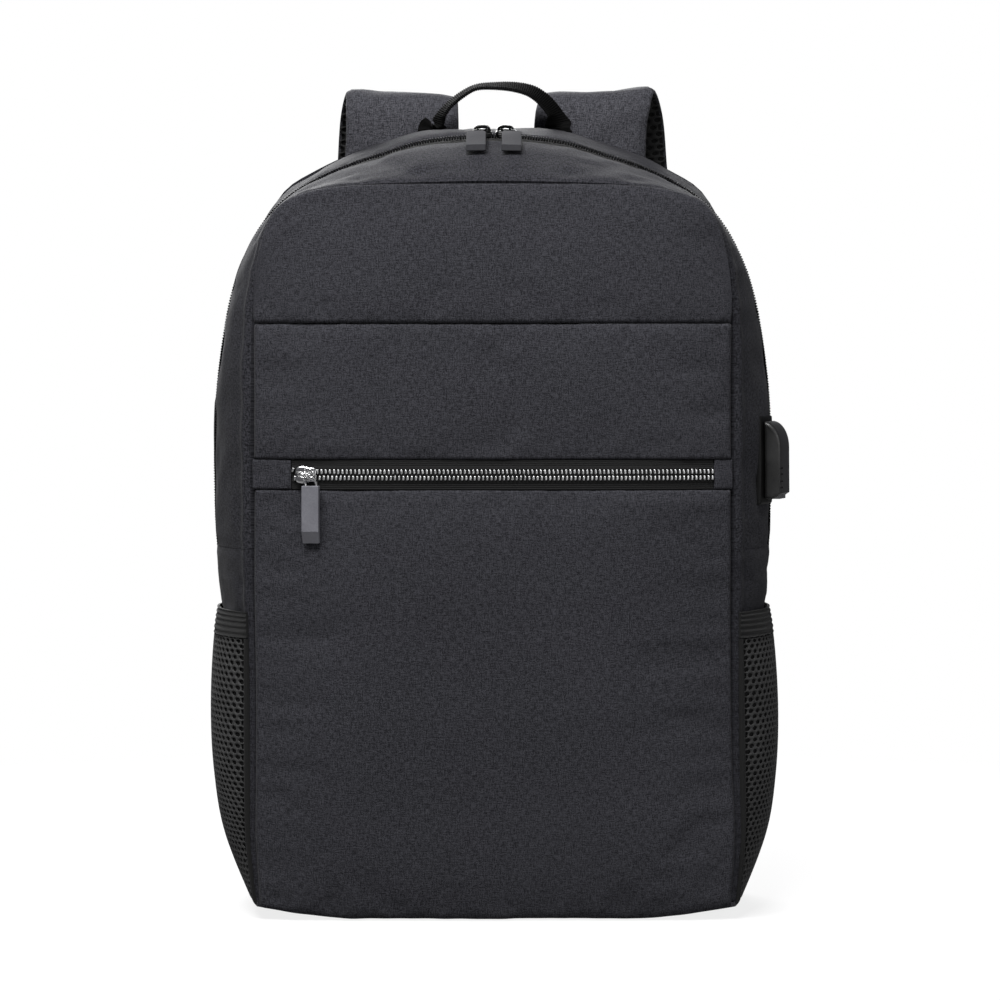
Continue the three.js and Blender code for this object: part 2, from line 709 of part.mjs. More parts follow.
// The pull: a wire loop round the bridge's bar and a rubber tab with a bevelled end, that hangs towards
// local -y.
// Its own origin is the middle of the bar, on which it turns.
function pull(name, { width, length, shift, drop, bridgeHeight }) {
  const group = new THREE.Group();
  const rest = tabThickness / 2 - bridgeHeight - bridgeBar / 2;
  const top = -sliderWidth / 2 - drop;
  const round = Math.hypot(bridgeWidth, bridgeBar) / 2 + wireDiameter / 2 + seamGap;
  const ring = (degrees, x) => {
    const angle = THREE.MathUtils.degToRad(degrees);
    return [x + shift * ringShare, -round * Math.cos(angle), -round * Math.sin(angle)];
  };
  const wire = new THREE.CatmullRomCurve3(
    [
      [shift - wireSpan / 2, top, rest],
      [shift - wireSpan / 2, top + 1.4, rest],
      ring(20, -0.9),
      ring(90, -0.5),
      ring(160, -0.3),
      ring(230, 0.1),
      ring(290, 1.1),
      [shift + wireSpan / 2, top + 1.6, rest + 0.6],
      [shift + wireSpan / 2, top, rest],
    ].map((p) => new THREE.Vector3(...p)),
    false,
    "centripetal",
  );
  const section = new THREE.Shape().absarc(0, 0, wireDiameter / 2, 0, Math.PI * 2);
  const loop = new THREE.ExtrudeGeometry(section, {
    steps: 18,
    curveSegments: 3,
    extrudePath: wire,
  });
  const face = new THREE.Shape()
    .moveTo(0, 0)
    .lineTo(-length, 0)
    .lineTo(-length, tabThickness * 0.3)
    .lineTo(-length + tabBevel, tabThickness)
    .lineTo(0, tabThickness)
    .closePath();
  const tab = new THREE.ExtrudeGeometry(face, { depth: width, bevelEnabled: false })
    .rotateX(Math.PI / 2)
    .rotateZ(Math.PI / 2)
    .translate(shift - width / 2, top - seamGap, rest - tabThickness / 2);
  group.add(piece(`${name}_pull_loop`, loop, "gunmetal"), piece(`${name}_pull_tab`, tab, "rubber"));
  return group;
}

// Places a group on a surface, its local z the outward normal and its local x nearest to a given direction.
function seat(group, surface, [u, v], offset, direction) {
  const normal = normalOf(surface, u, v);
  const along = direction.clone().addScaledVector(normal, -normal.dot(direction)).normalize();
  const up = normal.clone().cross(along);
  group.quaternion.setFromRotationMatrix(new THREE.Matrix4().makeBasis(along, up, normal));
  group.position.copy(surface(u, v)).addScaledVector(normal, offset);
  return group;
}

function sliders() {
  const group = new THREE.Group();
  const onChain = seamGap * 2 + chainThickness - tapeRecess;
  const middle = (zipWindowTop + zipWindowBottom) / 2;
  const slider = (name, surface, at, sizes) => {
    const made = new THREE.Group();
    const hung = pull(name, sizes);
    hung.position.z = sliderPlate + sizes.bridgeHeight + bridgeBar / 2;
    hung.rotation.x = THREE.MathUtils.degToRad(sizes.dip);
    made.add(piece(`${name}_slider`, sliderGeometry(sizes.bridgeHeight), "gunmetal"), hung);
    group.add(seat(made, surface, at, onChain, new THREE.Vector3(1, 0, 0)));
  };
  const front = {
    width: frontTabWidth,
    length: frontTabLength,
    shift: frontTabShift,
    drop: frontTabDrop,
    bridgeHeight: frontBridgeHeight,
    dip: 0,
  };
  const main = {
    width: mainTabWidth,
    length: mainTabLength,
    drop: mainTabDrop,
    bridgeHeight: mainBridgeHeight,
    dip: mainTabDip,
  };
  const left = [topAt(mainSliderLeftX), mainZipPlace];
  const right = [topAt(mainSliderRightX), mainZipPlace];
  slider("front", frontPoint, [acrossAt(frontSliderX, middle), middle], front);
  slider("main_left", gussetPoint, left, { ...main, shift: -mainTabShift });
  slider("main_right", gussetPoint, right, { ...main, shift: mainTabShift });
  return group;
}

// The charging port: a sewn plate, a hood open at the bottom, and in it the metal socket with its tongue.
// Local x runs towards the back of the bag, local y up and local z out.
function chargingPort() {
  const group = new THREE.Group();
  const half = portLength / 2;
  const s = sideAt(portHeight);
  const halfV = (portWidth / 2 + plateRimY) / depthAt(s);
  const plate = sheet({
    surface: gussetPoint,
    us: steps(sideAt(portHeight + half + plateRimZ), sideAt(portHeight - half - plateRimZ), 6),
    vs: steps(portPlace - halfV, portPlace + halfV, 5),
    outer: seamGap + portPlate,
    inner: seamGap,
  });
  const profile = new THREE.Shape()
    .moveTo(0, -half)
    .lineTo(portReach - portFootRun, -half)
    .lineTo(portReach, portFootRise - half)
    .absellipse(0, half - portCrown, portReach, portCrown, 0, Math.PI / 2)
    .closePath();
  const plan = new THREE.Shape()
    .moveTo(-portWidth / 2, 0)
    .lineTo(portWidth / 2, 0)
    .lineTo(portWidth / 2, portReach - portEdge)
    .lineTo(portWidth / 2 - portEdge, portReach)
    .lineTo(portEdge - portWidth / 2, portReach)
    .lineTo(-portWidth / 2, portReach - portEdge)
    .closePath();
  const fromSide = new THREE.ExtrudeGeometry(profile, {
    depth: portWidth,
    bevelEnabled: false,
    curveSegments: 6,
  })
    .translate(0, 0, -portWidth / 2)
    .rotateY(-Math.PI / 2);
  const fromBelow = new THREE.ExtrudeGeometry(plan, { depth: portLength + 2, bevelEnabled: false })
    .translate(0, 0, -half - 1)
    .rotateX(Math.PI / 2);
  const hood = toSolid(fromSide).intersect(toSolid(fromBelow));
  // A block in the socket's place, its mouth at the hood's bottom
  const mouth = (width, thickness, depth, past = 0) =>
    block(width, depth + past, thickness, 0, (depth - past) / 2 - half, portReach / 2);
  const recess = mouth(
    socketWidth + 2 * seamGap,
    socketThickness + 2 * seamGap,
    socketDepth + seamGap,
    1,
  );
  const shell = toSolid(mouth(socketWidth, socketThickness, socketDepth));
  const inside = mouth(
    socketWidth - 2 * socketWall,
    socketThickness - 2 * socketWall,
    socketDepth - socketWall,
    1,
  );
  const tongue = mouth(
    socketWidth - 2 * (socketWall + seamGap),
    tongueThickness,
    socketDepth - socketWall - seamGap,
    -1,
  );
  const built = new THREE.Group();
  built.add(
    piece("port_hood", fromSolid(hood.subtract(toSolid(recess))), "plastic"),
    piece("port_socket", fromSolid(shell.subtract(toSolid(inside))), "teeth"),
    piece("port_tongue", tongue, "plastic"),
  );
  group.add(piece("port_plate", plate, "plastic"));
  const onPlate = 2 * seamGap + portPlate;
  group.add(seat(built, gussetPoint, [s, portPlace], onPlate, new THREE.Vector3(0, 1, 0)));
  return group;
}

// Points of a smooth path through the given ones, as { place, side, width }, the sides eased between rows
function smoothPath(rows, count) {
  const curve = new THREE.CatmullRomCurve3(rows.map((row) => row.place), false, "centripetal");
  return steps(0, 1, count).map((t) => {
    const at = t * (rows.length - 1);
    const i = Math.min(Math.floor(at), rows.length - 2);
    const ease = at - i;
    return {
      place: curve.getPoint(t),
      side: rows[i].side.clone().lerp(rows[i + 1].side, ease),
      width: lerp(rows[i].width, rows[i + 1].width, ease),
    };
  });
}

const vector = (x, y, z) => new THREE.Vector3(x, y, z);

// The handle stands on two feet that are square to the rear strip, and turns over between them
function handle() {
  const stand = (x) => {
    const at = [topAt(x), handlePlace];
    const normal = normalOf(gussetPoint, ...at);
    const place = gussetPoint(...at).addScaledVector(normal, seamGap);
    const side = gussetPoint(at[0] + Math.sign(x) * 0.01, at[1]).sub(place).normalize();
    const above = place.clone().addScaledVector(normal, handleStub);
    return [place, above].map((spot) => ({ place: spot, side, width: handleWidth }));
  };
  const left = stand(handleLeftX);
  const right = stand(handleRightX);
  const top = bagHeight + handleRise - webbingWall;
  const between = handleRows.map(({ across, up, sideX, sideY, sideZ }) => {
    const level = left[0].place.clone().lerp(right[0].place, across);
    return {
      place: level.setZ(lerp(level.z, top, up)),
      side: vector(sideX, sideY, sideZ),
      width: handleWidth,
    };
  });
  const half = webbingWall / 2;
  const path = smoothPath([...left, ...between, ...right.reverse()], 32);
  return piece("handle", band(path, -half, half), "webbing");
}

// A strap on the side given by 1 for right or -1 for left, from the back seam down to the base corner
function strap(name, side) {
  const group = new THREE.Group();
  const rows = strapRows.map(({ out, up, splay, wide, tilt }) => ({
    place: vector(
      side * lerp(strapTopX, strapFootX, splay) + out * strapSway,
      backY + 2 * seamGap + strapPad + out * strapBow,
      up * bagHeight,
    ),
    side: vector(1, 0, side * tilt),
    width: lerp(strapEndWidth, strapWidth, wide),
  }));
  const path = smoothPath(rows, 30);
  const pad = band(path, -strapPad, -halfGap, 2);
  const net = band(path, 1.5 * seamGap, strapNet + seamGap);
  group.add(
    piece(`strap_${name}`, pad, "cloth"),
    piece(`strap_net_${name}`, net, "net"),
  );

  // Below the pad: local x across the strap, local y back up along it, local z away from the bag
  const end = path.at(-1);
  const up = path.at(-3).place.clone().sub(end.place).normalize();
  const across = vector(1, 0, 0).addScaledVector(up, -up.x).normalize();
  const out = across.clone().cross(up);
  if (out.y < 0) out.negate();
  const buckleMiddle = end.place.clone().addScaledVector(up, -buckleDrop);
  const local = (y, z) => buckleMiddle.clone().addScaledVector(up, y).addScaledVector(out, z);
  const half = buckleLength / 2;
  const barTop = half - buckleBar / 2;
  const round = Math.hypot(buckleBar, buckleWall) / 2 + 1.5 * seamGap + webbingWall / 2;
  const slot = (buckleLength - 3 * buckleBar) / 2;
  const face = strapPad + 3 * seamGap + webbingWall / 2;
  // Half a turn of webbing round a bar, from one angle to another, in quarter turns from local z towards y
  const turn = (y, from, to) =>
    steps((from * Math.PI) / 2, (to * Math.PI) / 2, 4).map((angle) =>
      local(y + round * Math.sin(angle), round * Math.cos(angle)),
    );
  const strip = (label, points, count) =>
    piece(
      label,
      band(
        smoothPath(
          points.map((place) => ({ place, side: across, width: lowerWebbingWidth })),
          count,
        ),
        -webbingWall / 2,
        webbingWall / 2,
      ),
      "webbing",
    );
  const upper = [
    local(buckleDrop + adjusterStart, face),
    local(buckleDrop + adjusterEnd, face),
    local(half + turnRun, round + webbingWall / 2),
    ...turn(barTop, 0, -2),
    local(half + turnRun, webbingWall / 2 - round),
  ];
  group.add(strip(`webbing_upper_${name}`, upper, 20));

  const frame = toSolid(block(buckleWidth, buckleLength, buckleWall));
  const window = (y) =>
    toSolid(block(buckleWidth - 2 * buckleBar, slot, buckleWall * 2, 0, y, 0));
  const middleOfSlot = (buckleBar + slot) / 2;
  const buckle = piece(
    `buckle_${name}`,
    fromSolid(frame.subtract(window(middleOfSlot)).subtract(window(-middleOfSlot))),
    "plastic",
  );
  buckle.position.copy(buckleMiddle);
  const turned = new THREE.Matrix4().makeBasis(across, up, across.clone().cross(up));
  buckle.quaternion.setFromRotationMatrix(turned);
  group.add(buckle);

  // The anchor is a wing sewn along the back seam near the base, and the lower webbing runs from its tip
  const seam = [-0.5, 0.5].map((share) =>
    backPoint(side * anchorPlace, anchorHeight + share * anchorSpan).add(
      vector(0, seamGap + anchorWall / 2, 0),
    ),
  );
  const root = seam[0].clone().lerp(seam[1], 0.5);
  const towards = local(-half, -round).sub(root).normalize();
  const point = root.clone().addScaledVector(towards, anchorReach);
  const webbingSide = across.clone().addScaledVector(towards, -towards.dot(across)).normalize();
  const tip = [-1, 1].map((end) =>
    point.clone().addScaledVector(webbingSide, (side * end * lowerWebbingWidth) / 2),
  );
  const wing = (u, v) => seam[0].clone().lerp(seam[1], v).lerp(tip[0].clone().lerp(tip[1], v), u);
  group.add(
    piece(
      `anchor_${name}`,
      sheet({
        surface: wing,
        us: steps(0, 1, 2),
        vs: steps(0, 1, 2),
        outer: anchorWall / 2,
        inner: -anchorWall / 2,
      }),
      "sideCloth",
    ),
  );
  const start = point.clone().addScaledVector(towards, seamGap + webbingWall / 2);
  const drop = (share, away) =>
    local(-half, round).add(vector(0, away, -share * tailLength));
  const lower = [
    start,
    start.clone().lerp(local(-half, -round), 0.5),
    local(-half, -round),
    ...turn(0, 2, 0),
    local(-half, round),
    drop(0.4, 1.5),
    drop(0.75, 3),
    drop(1, 3),
  ];
  group.add(strip(`webbing_lower_${name}`, lower, 30));
  return group;
}

bag.add(frontPanel(), frontZip(), gusset(), mainZip(), basePanel(), backPanel());
bag.add(pocket("left", -1), pocket("right", 1), sliders(), chargingPort(), handle());
bag.add(strap("left", -1), strap("right", 1));

export default bag;
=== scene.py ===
import math

import bpy
import bmesh
import numpy as np
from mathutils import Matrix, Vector


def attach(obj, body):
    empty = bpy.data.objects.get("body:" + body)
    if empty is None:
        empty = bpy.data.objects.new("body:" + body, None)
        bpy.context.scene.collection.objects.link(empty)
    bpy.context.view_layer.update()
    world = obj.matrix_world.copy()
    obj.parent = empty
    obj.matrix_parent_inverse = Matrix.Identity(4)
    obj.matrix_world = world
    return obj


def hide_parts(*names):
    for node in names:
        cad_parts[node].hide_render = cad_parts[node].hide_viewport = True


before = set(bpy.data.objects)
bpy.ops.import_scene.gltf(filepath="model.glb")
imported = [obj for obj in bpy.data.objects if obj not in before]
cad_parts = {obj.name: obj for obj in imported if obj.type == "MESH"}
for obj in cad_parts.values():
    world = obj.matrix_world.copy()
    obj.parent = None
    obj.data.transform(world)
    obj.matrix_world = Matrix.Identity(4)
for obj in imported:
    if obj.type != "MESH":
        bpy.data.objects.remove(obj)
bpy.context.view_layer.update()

MM = 0.001

# ---------------------------------------------------------------- camera

TARGET = np.array([4.05, -57.0, 227.0])
CAMERA_DISTANCE = 2200.0
CAMERA_RISE = math.radians(2.5)
SEEN_WIDTH = 540.0  # how much the picture takes in, across, at the target


def place_camera():
    data = bpy.data.cameras.new("camera")
    data.sensor_width = 36
    data.lens = 36 * CAMERA_DISTANCE / SEEN_WIDTH
    data.clip_start, data.clip_end = 0.1, 60
    camera = bpy.data.objects.new("camera", data)
    bpy.context.scene.collection.objects.link(camera)
    back = Vector((0, -math.cos(CAMERA_RISE), math.sin(CAMERA_RISE)))
    camera.location = Vector(TARGET * MM) + back * CAMERA_DISTANCE * MM
    camera.rotation_mode = "QUATERNION"
    camera.rotation_quaternion = (-back).to_track_quat("-Z", "Y")
    bpy.context.scene.camera = camera


place_camera()

# ---------------------------------------------------------------- sizes of the bag

BAG_HEIGHT = 431.0
TOP_FALL = 33.0
HALF_FRONT, HALF_BULGE, HALF_BACK = 130.0, 154.5, 141.0
DEPTH = 124.0
BACK_Y = DEPTH / 2
FRONT_LEAN, FRONT_CROWN = 12.0, 11.0
CORNER_LIFT, FLAT_SHARE, SWAY = 6.5, 0.6, 2.0
WALL, GAP, TUCK = 2.5, 0.3, 0.8
UPPER_SEAM, WINDOW_TOP, WINDOW_FOOT = 322.5, 249.0, 232.7
WINDOW_MIDDLE = (WINDOW_TOP + WINDOW_FOOT) / 2
WINDOW_LEFT, WINDOW_RIGHT = -109.0, 120.0
TAPE_RECESS, TAPE_WALL = 1.6, 0.9
CHAIN_THICKNESS = 1.7
ZIP_PLACE, ZIP_WINDOW, ZIP_END_HEIGHT = 0.5, 13.0, 200.0
POCKET_HEIGHT, POCKET_SWELL, BAND_HEIGHT = 166.0, 10.4, 14.5
HANDLE_RISE, HANDLE_STUB = 26.8, 2.4
PORT_HEIGHT, PORT_HALF, PORT_REACH, PORT_CROWN = 247.5, 21.2, 9.2, 14.3

# Sections round half the bag, from the middle of the top to a base corner: shares of the half widths of the
# front seam, the zip and the back seam, share of the height, and how far front seam and zip fall below it.
SECTIONS = np.array(
    [
        (0, 0, 0, 1, 1, 0.15),
        (0.262, 0.233, 0.27, 0.9965, 0.96, 0.19),
        (0.492, 0.401, 0.454, 0.9838, 0.81, 0.25),
        (0.662, 0.535, 0.61, 0.964, 0.6, 0.21),
        (0.777, 0.641, 0.73, 0.9443, 0.436, 0.19),
        (0.862, 0.722, 0.816, 0.9269, 0.35, 0.2),
        (0.919, 0.783, 0.872, 0.9049, 0.29, 0.17),
        (0.954, 0.837, 0.911, 0.877, 0.25, 0.14),
        (0.978, 0.884, 0.94, 0.8422, 0.18, 0.1),
        (0.992, 0.923, 0.961, 0.8028, 0.12, 0.05),
        (1, 0.958, 0.979, 0.7471, 0, 0),
        (1, 0.99, 0.993, 0.6636, 0, 0),
        (1, 1, 1, 0.58, 0, 0),
        (1, 0.997, 1, 0.4965, 0, 0),
        (1, 0.988, 0.999, 0.4408, 0, 0),
        (1, 0.979, 0.996, 0.3991, 0, 0),
        (1, 0.963, 0.993, 0.348, 0, 0),
        (1, 0.95, 0.988, 0.2552, 0, 0),
        (1.004, 0.938, 0.982, 0.1624, 0, 0),
        (1.008, 0.925, 0.974, 0.0812, 0, 0),
        (0.99, 0.872, 0.94, 0, 0, 0),
    ]
)
LAST = len(SECTIONS) - 1
ARCH_END = 9.5 / LAST
MIRRORED = SECTIONS[1] * [-1, -1, -1, 1, 1, 1]
ROWS = np.vstack([MIRRORED, SECTIONS, SECTIONS[-1]])


def mix(a, b, t):
    return a + (b - a) * t


def smooth(low, high, x):
    t = np.clip((x - low) / (high - low), 0, 1)
    return t * t * (3 - 2 * t)


def unit(v):
    return v / np.maximum(np.linalg.norm(v, axis=-1, keepdims=True), 1e-12)


def outline(s):
    """The front seam, the zip and the back seam at s, from -1 at the left base corner to 1 at the right."""
    s = np.asarray(s, float)
    at = np.clip(np.abs(s), 0, 1) * LAST
    i = np.clip(np.floor(at).astype(int), 0, LAST - 1)
    t = (at - i)[..., None]
    a, b, c, d = (ROWS[i + k] for k in range(4))
    row = b + 0.5 * t * (c - a + t * (2 * a - 5 * b + 4 * c - d + t * (3 * (b - c) + d - a)))
    side = np.where(s < 0, -1.0, 1.0)
    lifted = CORNER_LIFT + row[..., 3] * (BAG_HEIGHT - CORNER_LIFT)
    front = np.stack([side * row[..., 0] * HALF_FRONT, lifted - row[..., 4] * TOP_FALL], -1)
    middle = np.stack([side * row[..., 1] * HALF_BULGE, lifted - row[..., 5] * TOP_FALL], -1)
    back = np.stack([side * row[..., 2] * HALF_BACK, lifted], -1)
    return front, middle, back


def front_y(z):
    return -DEPTH / 2 + FRONT_LEAN * z / BAG_HEIGHT


def sway(z):
    return SWAY * np.maximum(0, 1 - 2 * z / BAG_HEIGHT)


def gusset(s, v):
    """A point of the gusset: s runs round the bag, v from the front seam to the back seam."""
    front, middle, back = outline(s)
    v = np.asarray(v, float)
    bulge = 1 - np.abs(2 * v - 1) ** 2.2
    x, z = (
        mix(front[..., k], back[..., k], v) + (middle[..., k] - (front[..., k] + back[..., k]) / 2) * bulge
        for k in (0, 1)
    )
    brow = FRONT_CROWN * 0.2 * np.maximum(0, 1 - (front[..., 0] / HALF_FRONT) ** 4)
    y = mix(front_y(front[..., 1]), BACK_Y, v) - brow * (1 - np.clip(v, 0, 1)) ** 6
    return np.stack([x + sway(z), y, z], -1)


FINE_S = np.linspace(0, 1, 6001)
FINE_FRONT, FINE_ZIP, FINE_BACK = outline(FINE_S)
SIDE_PART = FINE_S >= ARCH_END
TOP_PART = FINE_S <= ARCH_END


def side_at(height):
    """The s on the right side at a height of the zip line."""
    return np.interp(-np.asarray(height, float), -FINE_ZIP[SIDE_PART, 1], FINE_S[SIDE_PART])


def top_at(x):
    """The s over the top at an x of the zip line."""
    return np.sign(x) * np.interp(np.abs(x), FINE_ZIP[TOP_PART, 0], FINE_S[TOP_PART])


def base_rise(share):
    return CORNER_LIFT * (np.maximum(0, np.abs(share) - FLAT_SHARE) / (1 - FLAT_SHARE)) ** 1.4


def panel_place(loop, share, h):
    """x, z of the front (0) or back (2) panel: share from -1 to 1 across, h from the floor to the top."""
    fine = (FINE_FRONT, FINE_ZIP, FINE_BACK)[loop]
    arch_x, arch_z = fine[TOP_PART, 0], fine[TOP_PART, 1]
    size = np.abs(share) * arch_x[-1]
    over = np.interp(size, arch_x, arch_z)
    row = np.minimum(h, UPPER_SEAM)
    width = outline(side_at(row))[loop][..., 0]
    up = np.maximum(0, h - UPPER_SEAM) / (arch_z[0] - UPPER_SEAM)
    lift = base_rise(share) * np.maximum(0, 1 - h / WINDOW_FOOT) ** 3
    return mix(share * width, np.sign(share) * size, up), mix(row + lift, over, up)


def front_panel(share, h):
    x, z = panel_place(0, share, h)
    tall = z / (BAG_HEIGHT - TOP_FALL)
    crown = FRONT_CROWN * (1 - share**4) * (1 - np.abs(2 * tall - 1) ** 3 * 0.8)
    return np.stack([x + sway(z), front_y(z) - crown, z], -1)


def back_panel(share, h):
    x, z = panel_place(2, share, h)
    return np.stack([x + sway(z), np.full_like(x, BACK_Y), z], -1)


FRONT_TOP = FINE_FRONT[0, 1]
BACK_TOP = FINE_BACK[0, 1]
MIDDLE = np.array([0, 0, BAG_HEIGHT / 2])


def share_at(x, h):
    """The share across the front panel that lies at an x."""
    low, high = 0.0, 1.0
    for _ in range(40):
        half = (low + high) / 2
        if panel_place(0, np.array(half), np.array(h))[0] < abs(x):
            low = half
        else:
            high = half
    return math.copysign(low, x)


def normal_of(surface, u, v, away=MIDDLE):
    step = 1e-3
    rise = 0.5 if surface in (front_panel, back_panel) else step
    along = surface(u + step, v) - surface(u - step, v)
    across = surface(u, v + rise) - surface(u, v - rise)
    n = unit(np.cross(along, across))
    inward = ((surface(u, v) - away) * n).sum(-1) < 0
    return np.where(inward[..., None], -n, n)


def waves(points, size, seed, count=7):
    """Smooth uneven relief, about -1 to 1, with bumps of roughly the given size."""
    rng = np.random.default_rng(seed)
    total = np.zeros(points.shape[:-1])
    for _ in range(count):
        way = unit(rng.normal(size=3)) * 2 * math.pi / (size * rng.uniform(0.7, 1.5))
        total += np.sin(points @ way + rng.uniform(0, 2 * math.pi))
    return total / math.sqrt(count)


# ---------------------------------------------------------------- meshes


def turn_out(mesh):
    """Turns a closed mesh whose faces look inwards."""
    shape = bmesh.new()
    shape.from_mesh(mesh)
    if shape.calc_volume(signed=True) < 0:
        bmesh.ops.reverse_faces(shape, faces=shape.faces[:])
        shape.to_mesh(mesh)
    shape.free()


def make_piece(name, points, faces, finish, uv=None, sharp=40):
    """A mesh object from points in millimetres, faces turned outwards, with metric UVs where given."""
    mesh = bpy.data.meshes.new(name)
    mesh.from_pydata((np.asarray(points) * MM).tolist(), [], faces)
    if uv is not None:
        corner = np.empty(len(mesh.loops), int)
        mesh.loops.foreach_get("vertex_index", corner)
        layer = mesh.uv_layers.new(name="UVMap")
        layer.data.foreach_set("uv", (np.asarray(uv)[corner] / 100).astype(np.float32).ravel())
    turn_out(mesh)
    mesh.shade_smooth()
    mesh.set_sharp_from_angle(angle=math.radians(sharp))
    mesh.materials.append(finish)
    made = bpy.data.objects.new(name, mesh)
    bpy.context.scene.collection.objects.link(made)
    return made


def fasten(piece, slot, *nodes, body="bag"):
    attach(piece, body)
    if nodes:
        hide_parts(*nodes)
    return piece


EDGE_STEPS = np.array([0, 0.4, 0.9, 1.5, 2.2, 3.0, 4.0, 5.2, 6.8, 8.8])


def spread(low, high, length, step=3.0):
    """Values from low to high over a length in millimetres, close together near both ends."""
    ends = EDGE_STEPS[EDGE_STEPS < length / 2 - 0.2]
    inside = length - 2 * ends[-1]
    count = max(1, int(round(inside / step)))
    middle = ends[-1] + inside * np.arange(1, count) / count
    at = np.concatenate([ends, middle, (length - ends)[::-1]])
    return low + (high - low) * at / length


def grid_faces(nu, nv):
    """Faces of a closed sheet of two grids of nu by nv points, the outer one first."""
    k = np.arange(nu * nv).reshape(nu, nv)
    j = k + nu * nv
    quads = [
        np.stack([k[:-1, :-1], k[1:, :-1], k[1:, 1:], k[:-1, 1:]], -1).reshape(-1, 4),
        np.stack([j[:-1, :-1], j[:-1, 1:], j[1:, 1:], j[1:, :-1]], -1).reshape(-1, 4),
        np.stack([k[:-1, 0], j[:-1, 0], j[1:, 0], k[1:, 0]], -1),
        np.stack([k[:-1, -1], k[1:, -1], j[1:, -1], j[:-1, -1]], -1),
        np.stack([k[0, :-1], k[0, 1:], j[0, 1:], j[0, :-1]], -1),
        np.stack([k[-1, :-1], j[-1, :-1], j[-1, 1:], k[-1, 1:]], -1),
    ]
    return np.concatenate(quads).tolist()


def lengths(points, axis):
    """Running length along one axis of a grid of points, from its first line."""
    step = np.linalg.norm(np.diff(points, axis=axis), axis=-1)
    zero = np.zeros_like(np.take(step, [0], axis))
    return np.concatenate([zero, np.cumsum(step, axis)], axis)


def blurred(values, times):
    for _ in range(times):
        ring = np.pad(values, 1, mode="edge")
        values = sum(ring[i : i + values.shape[0], j : j + values.shape[1]] for i in range(3) for j in range(3)) / 9
    return values


def run_cloth(held, edge, pressure, slack):
    """Twenty steps of cloth without gravity, held at its edge; gives the places of its points in metres."""
    group = held.vertex_groups.new(name="held")
    group.add([int(k) for k in edge], 1.0, "REPLACE")
    modifier = held.modifiers.new("settle", "CLOTH")
    rules = modifier.settings
    rules.quality = 5
    rules.mass = 0.3
    rules.bending_stiffness = 0.4
    rules.vertex_group_mass = "held"
    rules.shrink_min = -slack
    rules.use_pressure = True
    rules.uniform_pressure_force = pressure
    rules.effector_weights.gravity = 0
    modifier.point_cache.frame_start, modifier.point_cache.frame_end = 1, 20
    scene = bpy.context.scene
    for step in range(1, 21):
        scene.frame_set(step)
    evaluated = held.evaluated_get(bpy.context.evaluated_depsgraph_get())
    flat = np.empty(len(evaluated.data.vertices) * 3)
    evaluated.data.vertices.foreach_get("co", flat)
    held.modifiers.remove(modifier)
    scene.frame_set(1)
    return flat.reshape(-1, 3)


def settled(surface, us, vs, pressure=4.0, slack=0.01, most=1.4, broad=1.0, seed=1, away=MIDDLE, cell=7.0):
    """How far cloth held along its edges comes off a surface, as a function of u and v, at most a given amount.
    broad is the share of the slow swelling that is kept beside the creases."""
    coarse = surface(*np.meshgrid(np.linspace(us[0], us[-1], 30), np.linspace(vs[0], vs[-1], 30), indexing="ij"))
    nu, nv = (int(np.clip(lengths(coarse, k).max() / cell, 8, 110)) for k in (0, 1))
    u, v = np.meshgrid(np.linspace(us[0], us[-1], nu), np.linspace(vs[0], vs[-1], nv), indexing="ij")
    normals = normal_of(surface, u, v, away)
    start = surface(u, v)
    start = start + normals * (0.25 * waves(start, 24, seed))[..., None]
    k = np.arange(nu * nv).reshape(nu, nv)
    quads = np.stack([k[:-1, :-1], k[1:, :-1], k[1:, 1:], k[:-1, 1:]], -1).reshape(-1, 4)
    facing = np.cross(start[1, 0] - start[0, 0], start[0, 1] - start[0, 0]) @ normals[0, 0]
    held = helper("settling", start.reshape(-1, 3), (quads if facing > 0 else quads[:, ::-1]).tolist())
    bpy.context.scene.collection.objects.link(held)
    edge = np.unique(np.concatenate([k[0], k[-1], k[:, 0], k[:, -1]]))
    end = run_cloth(held, edge, pressure, slack).reshape(nu, nv, 3) / MM
    bpy.data.objects.remove(held)
    move = ((end - start) * normals).sum(-1)
    slow = blurred(move, 8)
    move = most * np.tanh((move - slow * (1 - broad)) / most)

    def read(u_at, v_at):
        a = np.clip((np.asarray(u_at) - us[0]) / (us[-1] - us[0]), 0, 1) * (nu - 1)
        b = np.clip((np.asarray(v_at) - vs[0]) / (vs[-1] - vs[0]), 0, 1) * (nv - 1)
        i, j = np.minimum(a.astype(int), nu - 2), np.minimum(b.astype(int), nv - 2)
        a, b = a - i, b - j
        a, b = a * a * (3 - 2 * a), b * b * (3 - 2 * b)
        return mix(mix(move[i, j], move[i + 1, j], a), mix(move[i, j + 1], move[i + 1, j + 1], a), b)

    return read


